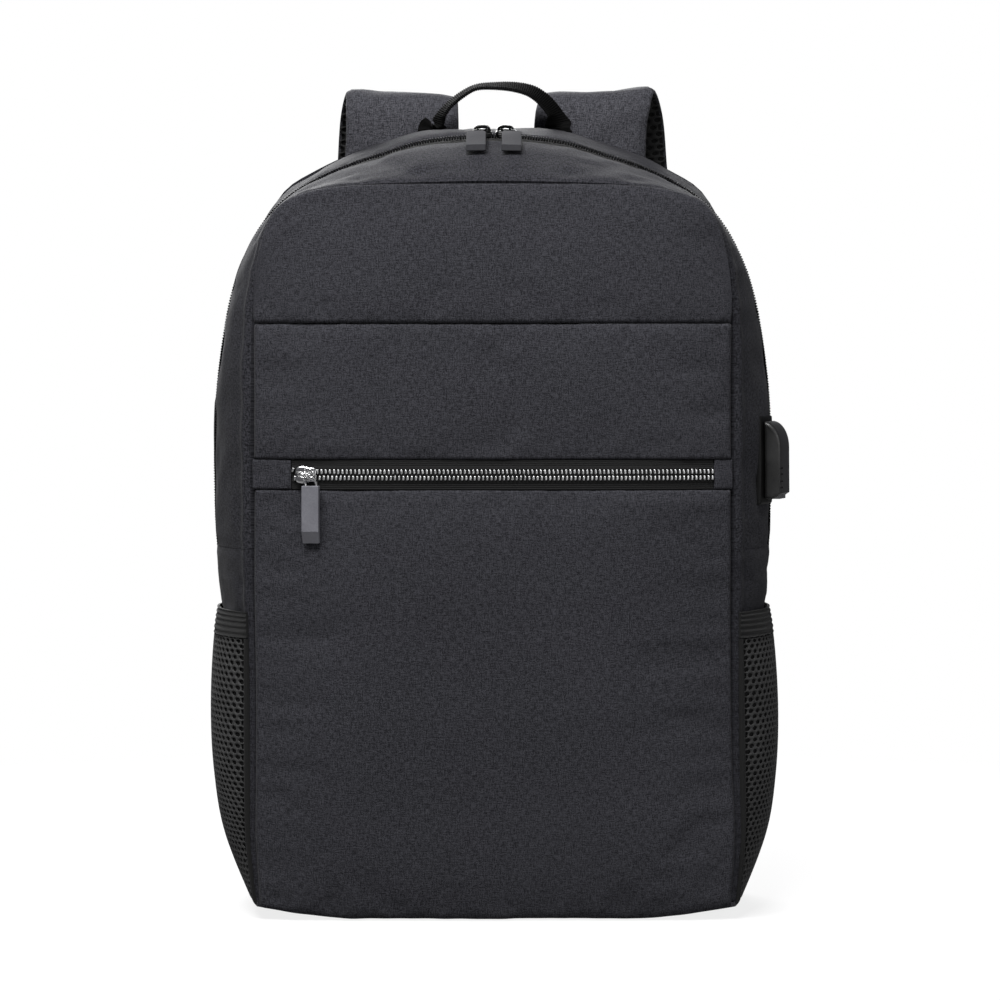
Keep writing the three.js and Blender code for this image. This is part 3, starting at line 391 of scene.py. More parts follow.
def sheet(name, surface, us, vs, finish, relief=None, wall=WALL, depth=0.0, away=MIDDLE, settle=None):
    """A closed sheet of cloth over a surface. relief(points, near) gives how far its face stands off the
    surface, where near holds the distances to its four edges: first u, last u, first v, last v."""
    u, v = np.meshgrid(us, vs, indexing="ij")
    points = surface(u, v)
    normals = normal_of(surface, u, v, away)
    run_u, run_v = lengths(points, 0), lengths(points, 1)
    near = (run_u, run_u[-1:] - run_u, run_v, run_v[:, -1:] - run_v)
    rise = np.zeros(u.shape) - depth
    if relief:
        rise = rise + relief(points, near)
    if settle:
        rise = rise + settled(surface, us, vs, away=away, **settle)(u, v)
    outer = points + normals * rise[..., None]
    inner = points + normals * (np.minimum(rise, -depth) - wall)[..., None]
    middle = len(us) // 2
    uv = np.stack([run_u - run_u[middle : middle + 1], run_v + points[:, :1, 2] * 0], -1)
    both = np.concatenate([outer.reshape(-1, 3), inner.reshape(-1, 3)])
    uvs = np.concatenate([uv.reshape(-1, 2)] * 2)
    made = make_piece(name, both, grid_faces(len(us), len(vs)), finish, uvs, 50)
    made["flat_area"] = float(area_of(outer))
    made["flat_size"] = [float(run_u[-1].mean()), float(run_v[:, -1].mean())]
    return made


def area_of(points):
    a = points[1:, :-1] - points[:-1, :-1]
    b = points[:-1, 1:] - points[:-1, :-1]
    return np.linalg.norm(np.cross(a, b), axis=-1).sum()


def loft(rings):
    """Points and faces of a solid through rings of equal count, closed by a face at each end."""
    rings = np.asarray(rings)
    rows, count = rings.shape[:2]
    k = np.arange(rows * count).reshape(rows, count)
    n = np.roll(k, -1, axis=1)
    quads = np.stack([k[:-1], n[:-1], n[1:], k[1:]], -1).reshape(-1, 4).tolist()
    ends = [k[0, ::-1].tolist(), k[-1].tolist()]
    return rings.reshape(-1, 3), quads + ends


def join(*shapes):
    """Several (points, faces) pairs as one."""
    points, faces, start = [], [], 0
    for p, f in shapes:
        points.append(p)
        faces += [[i + start for i in face] for face in f]
        start += len(p)
    return np.concatenate(points), faces


def shrink(shape, by):
    """A closed outline moved inwards by a distance."""
    before, after = np.roll(shape, 1, 0), np.roll(shape, -1, 0)
    a, b = unit(shape - before), unit(after - shape)
    left = lambda d: np.stack([-d[:, 1], d[:, 0]], -1)
    bisector = left(a) + left(b)
    scale = 2 / np.maximum((bisector**2).sum(-1, keepdims=True), 0.6)
    return shape + bisector * scale * by


def slab(shape, low, high, ease=0.4, steps=3):
    """A plate over an anticlockwise outline in x and y, between two heights, with eased edges."""
    shape = np.asarray(shape, float)
    rings = []
    for t in np.linspace(0, math.pi / 2, steps + 1):
        ring = shrink(shape, ease * (1 - math.sin(t)))
        rings.append((ring, low + ease * (1 - math.cos(t))))
    rings += [(ring, low + high - z) for ring, z in rings[::-1]]
    return loft([np.column_stack([ring, np.full(len(ring), z)]) for ring, z in rings])


def rounded(width, height, corner, steps=4):
    """Anticlockwise outline of a rectangle with round corners."""
    corners = [(1, 1, 0), (-1, 1, 1), (-1, -1, 2), (1, -1, 3)]
    out = []
    for sx, sy, q in corners:
        for t in np.linspace(0, math.pi / 2, steps + 1):
            angle = q * math.pi / 2 + t
            out.append((sx * (width / 2 - corner) + corner * math.cos(angle),
                        sy * (height / 2 - corner) + corner * math.sin(angle)))
    return np.array(out)


def curve_points(controls, count):
    """Points of a smooth curve through the given ones, the same rule as the part's own paths."""
    p = np.asarray(controls, float)
    ends = np.vstack([2 * p[0] - p[1], p, 2 * p[-1] - p[-2]])
    out = []
    for t in np.linspace(0, 1, count + 1):
        at = t * (len(p) - 1)
        i = min(int(at), len(p) - 2)
        w = at - i
        x0, x1, x2, x3 = ends[i : i + 4]
        d0, d1, d2 = (max(np.linalg.norm(b - a), 1e-9) ** 0.5 for a, b in ((x0, x1), (x1, x2), (x2, x3)))
        t1 = ((x1 - x0) / d0 - (x2 - x0) / (d0 + d1) + (x2 - x1) / d1) * d1
        t2 = ((x2 - x1) / d1 - (x3 - x1) / (d1 + d2) + (x3 - x2) / d2) * d1
        out.append(x1 + t1 * w + (-3 * x1 + 3 * x2 - 2 * t1 - t2) * w**2 + (2 * x1 - 2 * x2 + t1 + t2) * w**3)
    return np.array(out)


def tube(path, radius, sides=8):
    """Points and faces of a round rod along a path."""
    path = np.asarray(path, float)
    along = unit(np.gradient(path, axis=0))
    radius = np.broadcast_to(radius, len(path))
    across = np.cross(along[0], [0.31, 0.2, 0.93])
    rings = []
    turn = np.linspace(0, 2 * math.pi, sides, endpoint=False)
    for place, way, r in zip(path, along, radius):
        across = unit(across - way * (across @ way))
        other = np.cross(way, across)
        rings.append(place + r * (np.cos(turn)[:, None] * across + np.sin(turn)[:, None] * other))
    return loft(rings)


class Ribbon:
    """A flat strap's path: places, sides and widths, read at any length along it."""

    def __init__(self, rows, count):
        self.place = curve_points([r[0] for r in rows], count)
        sides = np.array([r[1] for r in rows], float)
        widths = np.array([r[2] for r in rows], float)
        at = np.linspace(0, len(rows) - 1, count + 1)
        self.side = np.stack([np.interp(at, range(len(rows)), sides[:, k]) for k in range(3)], -1)
        self.width = np.interp(at, range(len(rows)), widths)
        along = unit(np.gradient(self.place, axis=0))
        self.across = unit(self.side - along * (self.side * along).sum(-1, keepdims=True))
        self.out = np.cross(along, self.across)
        self.run = np.concatenate([[0], np.cumsum(np.linalg.norm(np.diff(self.place, axis=0), axis=-1))])
        self.length = self.run[-1]

    def read(self, values, run):
        return np.stack([np.interp(run, self.run, values[:, k]) for k in range(3)], -1)

    def at(self, run, w, o):
        """The place at a length along, a share of the half width across, and a height off the middle."""
        run, w, o = np.broadcast_arrays(run, w, o)
        half = np.interp(run, self.run, self.width) / 2
        return (
            self.read(self.place, run)
            + unit(self.read(self.across, run)) * (w * half)[..., None]
            + unit(self.read(self.out, run)) * o[..., None]
        )

    def sweep(self, section, step, start=0.0, end=None):
        """Points, faces and UVs of a section of (share of half width, height) swept along the path.
        The section may be a function of the length along."""
        end = self.length if end is None else end
        runs = np.linspace(start, end, max(2, int((end - start) / step) + 1))
        rings, uv = [], []
        for run in runs:
            ring = np.asarray(section(run) if callable(section) else section)
            rings.append(self.at(run, ring[:, 0], ring[:, 1]))
            half = np.interp(run, self.run, self.width) / 2
            uv.append(np.column_stack([ring[:, 0] * half + ring[:, 1] * 0.3, np.full(len(ring), run)]))
        points, faces = loft(rings)
        return points, faces, np.concatenate(uv)


def flat_section(wall, ribs=0, depth=0.0, edge=0.35, count=None, half=10.0):
    """Section of webbing: a thin band with rounded edges and ribs along it."""
    count = count or (ribs * 6 if ribs else 10)
    w = np.linspace(-1, 1, count + 1)
    swell = np.sqrt(np.maximum(0, 1 - np.abs(w) ** 14))
    ridge = depth * (0.5 + 0.5 * np.cos(np.pi * ribs * (w + 1))) if ribs else 0 * w
    up = (wall / 2 - ridge) * np.maximum(swell, 0.25)
    return np.concatenate([np.column_stack([w, up]), np.column_stack([w, -up])[::-1]])


# ---------------------------------------------------------------- finishes


def put(tree, kind, inputs=None, **settings):
    """Adds a node. Inputs are numbers, colours or another node's output."""
    made = tree.nodes.new(kind)
    for key, value in settings.items():
        setattr(made, key, value)
    for key, value in (inputs or {}).items():
        if isinstance(value, bpy.types.NodeSocket):
            tree.links.new(value, made.inputs[key])
        else:
            made.inputs[key].default_value = value
    return made


def srgb(level, warm=0.0, cool=0.0):
    """Linear colour of a grey of 0 to 255, a little warmer or bluer where asked."""
    line = lambda c: ((c / 255 + 0.055) / 1.055) ** 2.4 if c > 10 else c / 255 / 12.92
    return (line(level + warm), line(level), line(level + cool), 1.0)


def new_finish(name, roughness=0.9, metal=0.0, sheen=0.0, sheen_roughness=0.5, specular=0.5):
    finish = bpy.data.materials.new(name)
    finish.use_nodes = True
    tree = finish.node_tree
    tree.nodes.clear()
    shader = put(tree, "ShaderNodeBsdfPrincipled")
    shader.inputs["Roughness"].default_value = roughness
    shader.inputs["Metallic"].default_value = metal
    shader.inputs["Sheen Weight"].default_value = sheen
    shader.inputs["Sheen Roughness"].default_value = sheen_roughness
    shader.inputs["Specular IOR Level"].default_value = specular
    out = put(tree, "ShaderNodeOutputMaterial", {"Surface": shader.outputs["BSDF"]})
    return finish, tree, shader


def scaled(tree, source, scale):
    """Coordinates times a scale of its own along each axis: the piece's UVs, or its place."""
    if source == "uv":
        coordinates = put(tree, "ShaderNodeUVMap", uv_map="UVMap").outputs["UV"]
    else:
        coordinates = put(tree, "ShaderNodeTexCoord").outputs["Object"]
    return put(tree, "ShaderNodeVectorMath", {0: coordinates, 1: scale}, operation="MULTIPLY").outputs[0]


def noise(tree, vector, detail=2.0, roughness=0.5, scale=1.0):
    inputs = {"Vector": vector, "Scale": scale, "Detail": detail, "Roughness": roughness}
    return put(tree, "ShaderNodeTexNoise", inputs).outputs["Fac"]


def span(tree, value, low, high, to_low=0.0, to_high=1.0):
    inputs = {"Value": value, "From Min": low, "From Max": high, "To Min": to_low, "To Max": to_high}
    return put(tree, "ShaderNodeMapRange", inputs).outputs["Result"]


def sums(tree, a, b, operation="ADD"):
    return put(tree, "ShaderNodeMath", {0: a, 1: b}, operation=operation).outputs[0]


def blend_colours(tree, share, a, b):
    made = put(tree, "ShaderNodeMix", data_type="RGBA")
    for key, value in (("Factor", share), ("A", a), ("B", b)):
        socket = next(s for s in made.inputs if s.name == key and s.enabled)
        if isinstance(value, bpy.types.NodeSocket):
            tree.links.new(value, socket)
        else:
            socket.default_value = value
    return next(s for s in made.outputs if s.enabled)


def set_bump(tree, shader, height, distance, strength=1.0):
    inputs = {"Height": height, "Distance": distance, "Strength": strength}
    tree.links.new(put(tree, "ShaderNodeBump", inputs).outputs["Normal"], shader.inputs["Normal"])


def mottled_cloth(name, dark, light, thread=0.65, mark=3.6, grain=0.6, cool=4.0, bump=0.0001):
    """Plain weave of dark and lighter threads: short streaks both ways, flecks and a fine grain."""
    finish, tree, shader = new_finish(name, 0.92, sheen=0.04, sheen_roughness=0.5, specular=0.15)
    across = noise(tree, scaled(tree, "uv", (100 / mark, 100 / thread, 1)), 2.0, 0.6)
    upward = noise(tree, scaled(tree, "uv", (100 / thread, 100 / mark, 1)), 2.0, 0.6)
    fleck = noise(tree, scaled(tree, "uv", (100 / grain, 100 / grain, 1)), 1.0)
    broad = noise(tree, scaled(tree, "object", (9, 9, 9)), 2.0)
    both = sums(tree, across, upward)
    streak = span(tree, both, 0.76, 1.28)
    share = sums(tree, streak, span(tree, fleck, 0.32, 0.7, -0.4, 0.5))
    share = sums(tree, share, span(tree, broad, 0.3, 0.7, -0.06, 0.06))
    colour = blend_colours(tree, share, srgb(dark, cool=cool), srgb(light, cool=cool + 1))
    tree.links.new(colour, shader.inputs["Base Color"])
    tree.links.new(span(tree, fleck, 0.3, 0.7, 0.82, 0.95), shader.inputs["Roughness"])
    set_bump(tree, shader, sums(tree, both, fleck), bump)
    return finish


def ribbed_textile(name, dark, light, pitch, rough=0.8, sheen=0.05, bump=0.0002, along="v", specular=0.2):
    """Tape, webbing or elastic: fine cross ribs with yarn noise over them."""
    finish, tree, shader = new_finish(name, rough, sheen=sheen, specular=specular)
    size = 100 / pitch
    vector = scaled(tree, "uv", (size, size, 1))
    direction = "Y" if along == "v" else "X"
    ribs = put(
        tree,
        "ShaderNodeTexWave",
        {"Vector": vector, "Scale": 0.3183, "Distortion": 0.6, "Detail": 1.0},
        wave_type="BANDS",
        bands_direction=direction,
    ).outputs["Fac"]
    yarn = noise(tree, scaled(tree, "uv", (100 / 0.5, 100 / 0.5, 1)), 2.0)
    share = sums(tree, sums(tree, ribs, yarn), 0.5, "MULTIPLY")
    colour = blend_colours(tree, share, srgb(dark), srgb(light))
    tree.links.new(colour, shader.inputs["Base Color"])
    tree.links.new(span(tree, yarn, 0.3, 0.7, rough - 0.08, rough + 0.08), shader.inputs["Roughness"])
    set_bump(tree, shader, sums(tree, ribs, sums(tree, yarn, 0.4, "MULTIPLY")), bump)
    return finish


def grained(name, dark, light, rough, grain=0.9, bump=0.00004, metal=0.0, specular=0.5, cool=0.0):
    """Moulded rubber, plastic or cast metal: a fine grain, faint clouding and rubbed patches."""
    finish, tree, shader = new_finish(name, rough, metal=metal, specular=specular)
    fine = noise(tree, scaled(tree, "object", (1000 / grain,) * 3), 3.0, 0.6)
    broad = noise(tree, scaled(tree, "object", (90, 90, 90)), 2.0)
    share = sums(tree, sums(tree, fine, broad), 0.5, "MULTIPLY")
    colour = blend_colours(tree, span(tree, share, 0.35, 0.65), srgb(dark, cool=cool), srgb(light, cool=cool))
    tree.links.new(colour, shader.inputs["Base Color"])
    tree.links.new(span(tree, broad, 0.3, 0.7, rough - 0.06, rough + 0.07), shader.inputs["Roughness"])
    set_bump(tree, shader, fine, bump)
    return finish


def knitted(name, dark, light, bump=0.0001):
    """Knitted net: yarn noise on the strands."""
    finish, tree, shader = new_finish(name, 0.8, sheen=0.03, specular=0.25)
    yarn = noise(tree, scaled(tree, "object", (2600, 2600, 2600)), 2.0)
    broad = noise(tree, scaled(tree, "object", (40, 40, 40)), 2.0)
    share = span(tree, sums(tree, yarn, sums(tree, broad, 0.5, "MULTIPLY")), 0.55, 0.95)
    tree.links.new(blend_colours(tree, share, srgb(dark), srgb(light)), shader.inputs["Base Color"])
    tree.links.new(span(tree, yarn, 0.3, 0.7, 0.68, 0.85), shader.inputs["Roughness"])
    set_bump(tree, shader, yarn, bump)
    return finish


cloth = mottled_cloth("mottled_cloth", 22, 59)
side_cloth = mottled_cloth("side_cloth", 13, 48)
strap_cloth = mottled_cloth("strap_cloth", 26, 70)
gusset_cloth = mottled_cloth("gusset_cloth", 12, 52, thread=0.8, mark=2.4, grain=0.85)
tape = ribbed_textile("zip_tape", 10, 22, 1.1)
webbing = ribbed_textile("strap_webbing", 3, 17, 1.2, 0.95, sheen=0.0, specular=0.04)
elastic = ribbed_textile("elastic_band", 12, 28, 0.8, along="u")
net_yarn = knitted("net_yarn", 40, 64)
pad_net = knitted("pad_net_yarn", 18, 34)
lining = knitted("net_backing", 3, 6)
rubber = grained("grey_rubber", 92, 108, 0.55, cool=6)
dark_rubber = grained("dark_rubber", 48, 57, 0.85, specular=0.12, cool=3)
plastic = grained("black_plastic", 26, 38, 0.42)
# The port plate's black plastic is darker than the hood's: partly its own colour, partly painted shade for the shadow
# beside the hood.
plate_plastic = grained("plate_plastic", 8, 14, 0.6, specular=0.2)
coil_nylon = grained("coil_nylon", 4, 9, 0.7, 0.4, 0.00002, specular=0.05)
silver = grained("silver_teeth", 205, 232, 0.36, 0.5, 0.00001, metal=1.0)
chrome = grained("bright_slider", 196, 222, 0.2, 1.6, 0.00001, metal=1.0)
gunmetal = grained("dark_slider", 40, 62, 0.36, 0.8, 0.00002, metal=1.0)
socket_metal = grained("socket_shell", 140, 170, 0.3, 0.8, 0.00001, metal=1.0)

# ---------------------------------------------------------------- repeats


def new_tree(name, inputs):
    tree = bpy.data.node_groups.new(name, "GeometryNodeTree")
    tree.interface.new_socket("Geometry", in_out="INPUT", socket_type="NodeSocketGeometry")
    for label, kind, value in inputs:
        socket = tree.interface.new_socket(label, in_out="INPUT", socket_type="NodeSocket" + kind)
        if value is not None:
            socket.default_value = value
    tree.interface.new_socket("Geometry", in_out="OUTPUT", socket_type="NodeSocketGeometry")
    return tree


def run_tree(tree, base, name, **values):
    """Runs a tree on an object with its named inputs and keeps the result as a plain mesh."""
    modifier = base.modifiers.new("make", "NODES")
    modifier.node_group = tree
    sockets = {s.name: s.identifier for s in tree.interface.items_tree if s.in_out == "INPUT"}
    for label, value in values.items():
        modifier[sockets[label.replace("_", " ")]] = value
    bpy.context.view_layer.update()
    evaluated = base.evaluated_get(bpy.context.evaluated_depsgraph_get())
    mesh = bpy.data.meshes.new_from_object(evaluated)
    mesh.name = name
    base.modifiers.remove(modifier)
    mesh.materials.clear()
    mesh.materials.append(values["Finish"])
    mesh.polygons.foreach_set("material_index", [0] * len(mesh.polygons))
    return mesh


def path_tree():
    """Units set along a line at a pitch, their x along it and their z to the line's out direction."""
    tree = new_tree(
        "units_along_a_line",
        [("Unit", "Object", None), ("Pitch", "Float", 0.003), ("Uneven turn", "Float", 0.0),
         ("Uneven size", "Float", 0.0), ("Seed", "Int", 1), ("Finish", "Material", None)],
    )
    given = put(tree, "NodeGroupInput").outputs
    curve = put(tree, "GeometryNodeMeshToCurve", {"Mesh": given["Geometry"]})
    even = put(tree, "GeometryNodeResampleCurve", {"Curve": curve.outputs["Curve"], "Length": given["Pitch"]},
               mode="LENGTH")
    out = put(tree, "GeometryNodeInputNamedAttribute", {"Name": "out"}, data_type="FLOAT_VECTOR")
    tangent = put(tree, "GeometryNodeInputTangent")
    first = put(tree, "FunctionNodeAlignRotationToVector", {"Vector": tangent.outputs["Tangent"]}, axis="X")
    second = put(tree, "FunctionNodeAlignRotationToVector",
                 {"Rotation": first.outputs["Rotation"], "Vector": out.outputs["Attribute"]},
                 axis="Z", pivot_axis="X")
    low = put(tree, "ShaderNodeMath", {0: given["Uneven turn"], 1: -1.0}, operation="MULTIPLY")
    turn = put(tree, "FunctionNodeRandomValue",
               {2: low.outputs[0], 3: given["Uneven turn"], "Seed": given["Seed"]}, data_type="FLOAT")
    axis = put(tree, "ShaderNodeCombineXYZ", {"Z": turn.outputs[1]})
    euler = put(tree, "FunctionNodeEulerToRotation", {"Euler": axis.outputs[0]})
    turned = put(tree, "FunctionNodeRotateRotation",
                 {"Rotation": second.outputs["Rotation"], "Rotate By": euler.outputs[0]}, rotation_space="LOCAL")
    less = put(tree, "ShaderNodeMath", {0: 1.0, 1: given["Uneven size"]}, operation="SUBTRACT")
    more = put(tree, "ShaderNodeMath", {0: 1.0, 1: given["Uneven size"]}, operation="ADD")
    seed = put(tree, "FunctionNodeIntegerMath", {0: given["Seed"], 1: 7}, operation="ADD")
    size = put(tree, "FunctionNodeRandomValue",
               {2: less.outputs[0], 3: more.outputs[0], "Seed": seed.outputs[0]}, data_type="FLOAT")
    unit_shape = put(tree, "GeometryNodeObjectInfo", {"Object": given["Unit"]})
    placed = put(tree, "GeometryNodeInstanceOnPoints",
                 {"Points": even.outputs["Curve"], "Instance": unit_shape.outputs["Geometry"],
                  "Rotation": turned.outputs["Rotation"], "Scale": size.outputs[1]})
    real = put(tree, "GeometryNodeRealizeInstances", {"Geometry": placed.outputs["Instances"]})
    dressed = put(tree, "GeometryNodeSetMaterial",
                  {"Geometry": real.outputs["Geometry"], "Material": given["Finish"]})
    put(tree, "NodeGroupOutput", {"Geometry": dressed.outputs["Geometry"]})
    return tree


def net_tree():
    """A flat staggered lattice of net cells: two grids of cells, the second half a cell across and a row up."""
    tree = new_tree(
        "net_lattice",
        [("Cell", "Object", None), ("Cell width", "Float", 0.0055), ("Row gap", "Float", 0.0026),
         ("Columns", "Int", 10), ("Rows", "Int", 10), ("Finish", "Material", None)],
    )
    given = put(tree, "NodeGroupInput").outputs
    math_node = lambda a, b, operation: put(tree, "ShaderNodeMath", {0: a, 1: b}, operation=operation).outputs[0]
    cell = put(tree, "GeometryNodeObjectInfo", {"Object": given["Cell"]}).outputs["Geometry"]
    pitch = math_node(given["Row gap"], 2.0, "MULTIPLY")
    wide = math_node(math_node(given["Columns"], 1.0, "SUBTRACT"), given["Cell width"], "MULTIPLY")
    tall = math_node(math_node(given["Rows"], 1.0, "SUBTRACT"), pitch, "MULTIPLY")
    grid = put(tree, "GeometryNodeMeshGrid",
               {"Size X": wide, "Size Y": tall, "Vertices X": given["Columns"], "Vertices Y": given["Rows"]})
    shift = put(tree, "ShaderNodeCombineXYZ",
                {"X": math_node(given["Cell width"], 0.5, "MULTIPLY"), "Y": given["Row gap"]})
    moved = put(tree, "GeometryNodeTransform",
                {"Geometry": grid.outputs["Mesh"], "Translation": shift.outputs[0]})
    both = put(tree, "GeometryNodeJoinGeometry")
    for source in (grid.outputs["Mesh"], moved.outputs["Geometry"]):
        tree.links.new(source, both.inputs[0])
    placed = put(tree, "GeometryNodeInstanceOnPoints", {"Points": both.outputs[0], "Instance": cell})
    real = put(tree, "GeometryNodeRealizeInstances", {"Geometry": placed.outputs["Instances"]})
    welded = put(tree, "GeometryNodeMergeByDistance", {"Geometry": real.outputs["Geometry"], "Distance": 0.00005})
    dressed = put(tree, "GeometryNodeSetMaterial",
                  {"Geometry": welded.outputs["Geometry"], "Material": given["Finish"]})
    put(tree, "NodeGroupOutput", {"Geometry": dressed.outputs["Geometry"]})
    return tree


ALONG = path_tree()
NET = net_tree()


def helper(name, points, faces=(), edges=()):
    """An object that only a tree reads, kept out of the scene."""
    mesh = bpy.data.meshes.new(name)
    mesh.from_pydata((np.asarray(points) * MM).tolist(), list(edges), list(faces))
    mesh.shade_smooth()
    return bpy.data.objects.new(name, mesh)


def unit_of(name, shape, sharp=40):
    made = make_piece(name, *shape, finish=None, sharp=sharp)
    bpy.context.scene.collection.objects.unlink(made)
    return made


def set_along(name, place, out, unit_object, pitch, finish, turn=0.0, size=0.0, seed=1):
    """Units along a line of places, each with its outward direction."""
    line = helper(name + "_line", place, edges=[(i, i + 1) for i in range(len(place) - 1)])
    layer = line.data.attributes.new("out", "FLOAT_VECTOR", "POINT")
    layer.data.foreach_set("vector", np.asarray(out, np.float32).ravel())
    bpy.context.scene.collection.objects.link(line)
    mesh = run_tree(ALONG, line, name, Unit=unit_object, Pitch=pitch * MM, Uneven_turn=turn,
                    Uneven_size=size, Seed=seed, Finish=finish)
    bpy.data.objects.remove(line)
    made = bpy.data.objects.new(name, mesh)
    bpy.context.scene.collection.objects.link(made)
    return made


def net_cell(width, row, wall, hole):
    """One cell of a net: a six-sided tile with an oval hole, its strands rounded."""
    low, high = row * 0.4, row * 0.6
    half = width / 2
    outer = np.array([(0, high), (-half, low), (-half, 0), (-half, -low),
                      (0, -high), (half, -low), (half, 0), (half, low)])
    angle = np.arctan2(outer[:, 1] / (row * 0.56), outer[:, 0] / (half * 0.95))
    oval = np.column_stack([np.cos(angle) * half * 0.95, np.sin(angle) * row * 0.56]) * hole
    rings = [(outer, 0.0), (outer, wall), (oval * 1.12, wall * 0.75), (oval, wall * 0.3), (oval * 1.06, 0.0)]
    points = np.concatenate([np.column_stack([ring, np.full(8, z)]) for ring, z in rings])
    faces = []
    for a, b in ((1, 2), (2, 3), (3, 4), (4, 0)):
        for k in range(8):
            n = (k + 1) % 8
            faces.append((a * 8 + k, a * 8 + n, b * 8 + n, b * 8 + k))
    return points, faces


def close_rim(mesh, wall):
    """Walls along the open rim of a flat net, from its upper face down to its lower one."""
    shape = bmesh.new()
    shape.from_mesh(mesh)
    key = lambda v: (round(v.co.x * 1e5), round(v.co.y * 1e5))
    below = {key(v): v for v in shape.verts if v.co.z < wall * 0.01}
    rim = [e for e in shape.edges if e.is_boundary and min(v.co.z for v in e.verts) > wall * 0.9]
    for edge in rim:
        a, b = edge.verts
        if key(a) in below and key(b) in below:
            shape.faces.new((a, b, below[key(b)], below[key(a)]))
    bmesh.ops.recalc_face_normals(shape, faces=shape.faces[:])
    shape.to_mesh(mesh)
    shape.free()


def net_over(name, place, width, height, cell, row, wall, hole, finish):
    """A net of cells laid over place(x, y, off), where x and y run from 0 to width and height."""
    shape = helper("cell_of_" + name, *net_cell(cell, row, wall, hole))
    columns = int(math.ceil(width / cell)) + 1
    rows = int(math.ceil(height / (2 * row))) + 1
    base = helper(name + "_base", [(0, 0, 0)])
    bpy.context.scene.collection.objects.link(base)
    mesh = run_tree(NET, base, name, Cell=shape, Cell_width=cell * MM, Row_gap=row * MM,
                    Columns=columns, Rows=rows, Finish=finish)
    bpy.data.objects.remove(base)
    close_rim(mesh, wall * MM)
    flat = np.empty(len(mesh.vertices) * 3)
    mesh.vertices.foreach_get("co", flat)
    flat = flat.reshape(-1, 3) / MM
    low, high = flat.min(0), flat.max(0)
    x = (flat[:, 0] - low[0]) / (high[0] - low[0]) * width
    y = (flat[:, 1] - low[1]) / (high[1] - low[1]) * height
    points = place(x, y, flat[:, 2])
    mesh.vertices.foreach_set("co", (points * MM).astype(np.float32).ravel())
    mesh.update()
    turn_out(mesh)
    mesh.shade_smooth()
    made = bpy.data.objects.new(name, mesh)
    bpy.context.scene.collection.objects.link(made)
    return made


def seat(surface, u, v, offset, direction):
    """Origin and axes of a thing on a surface: z outwards, x nearest to a direction."""
    u, v = np.array(u), np.array(v)
    n = normal_of(surface, u, v)
    along = unit(direction - n * (n @ direction))
    return surface(u, v) + n * offset, np.stack([along, np.cross(n, along), n])


def stand(shape, origin, axes):
    points, faces = shape
    return np.asarray(points) @ axes + origin, faces


# ---------------------------------------------------------------- the bag's cloth

ZIP_END = float(side_at(ZIP_END_HEIGHT))
BASE_END = float(side_at(CORNER_LIFT + WALL + GAP))
FRONT_EDGE = (WALL + GAP) / DEPTH
BACK_EDGE = 1 - FRONT_EDGE - TUCK / DEPTH
HALF_WINDOW = ZIP_WINDOW / 2 / DEPTH


def dip(distance, depth, reach):
    return -depth * np.exp(-((distance / reach) ** 2))


def roll(distance, radius):
    """A folded edge: the face turns down over a radius."""
    left = np.clip(1 - distance / radius, 0, 1)
    return -radius * (1 - np.sqrt(np.maximum(0, 1 - left**2)))


def pucker(points, distance, size, depth, reach, seed):
    """Small gathers along a seam that die away from it."""
    return depth * waves(points * [1, 0.2, 0.15], size, seed) * np.exp(-((distance / reach) ** 2))


def soft_face(points, seed, broad=0.55, fine=0.1):
    return broad * waves(points, 95, seed) + fine * waves(points, 26, seed + 50)


def upper_relief(points, near):
    left, right, low, high = near
    side = np.minimum(left, right)
    return (
        soft_face(points, 3) * (1 - 0.85 * np.exp(-((high / 8) ** 2)))
        + roll(side, 3.0) * 0.8 + dip(side, 1.4, 1.3)
        + roll(high, 1.8) * 0.6 + dip(high, 0.2, 1.6)
        + roll(low, 1.6) * 0.8 + dip(low, 0.5, 1.2)
        + pucker(points, low, 11, 0.22, 9, 11) + pucker(points, high, 13, 0.25, 10, 12)
    )


def middle_relief(points, near):
    left, right, low, high = near
    side = np.minimum(left, right)
    return (
        soft_face(points, 4)
        + roll(side, 3.0) * 0.8 + dip(side, 1.4, 1.3)
        + roll(high, 1.6) * 0.8 + dip(high, 0.9, 1.4)
        + roll(low, 1.7)
        + pucker(points, high, 10, 0.25, 9, 13) + pucker(points, low, 12, 0.2, 8, 14)
    )


def lower_relief(points, near):
    left, right, low, high = near
    side = np.minimum(left, right)
    return (
        soft_face(points, 5, 0.8, 0.12)
        + roll(side, 3.0) * 0.8 + dip(side, 1.4, 1.3)
        + roll(high, 1.7)
        + roll(low, 3.5) * 0.8
        + pucker(points, high, 12, 0.2, 8, 15) + pucker(points, low, 16, 0.6, 14, 16)
    )


def front_pieces():
    across = spread(-1, 1, 260)
    half = GAP / 2
    rows = (
        ("front_upper", UPPER_SEAM + half, FRONT_TOP, upper_relief),
        ("front_middle", WINDOW_TOP + half, UPPER_SEAM - half, middle_relief),
        ("front_lower", 0.0, WINDOW_FOOT - half, lower_relief),
    )
    for name, low, high, relief in rows:
        made = sheet("cloth_" + name, front_panel, across, spread(low, high, high - low), cloth, relief,
                     settle=dict(pressure=1.5, slack=0.008, most=1.0, broad=0.4, seed=int(low)))
        fasten(made, "cloth", name)


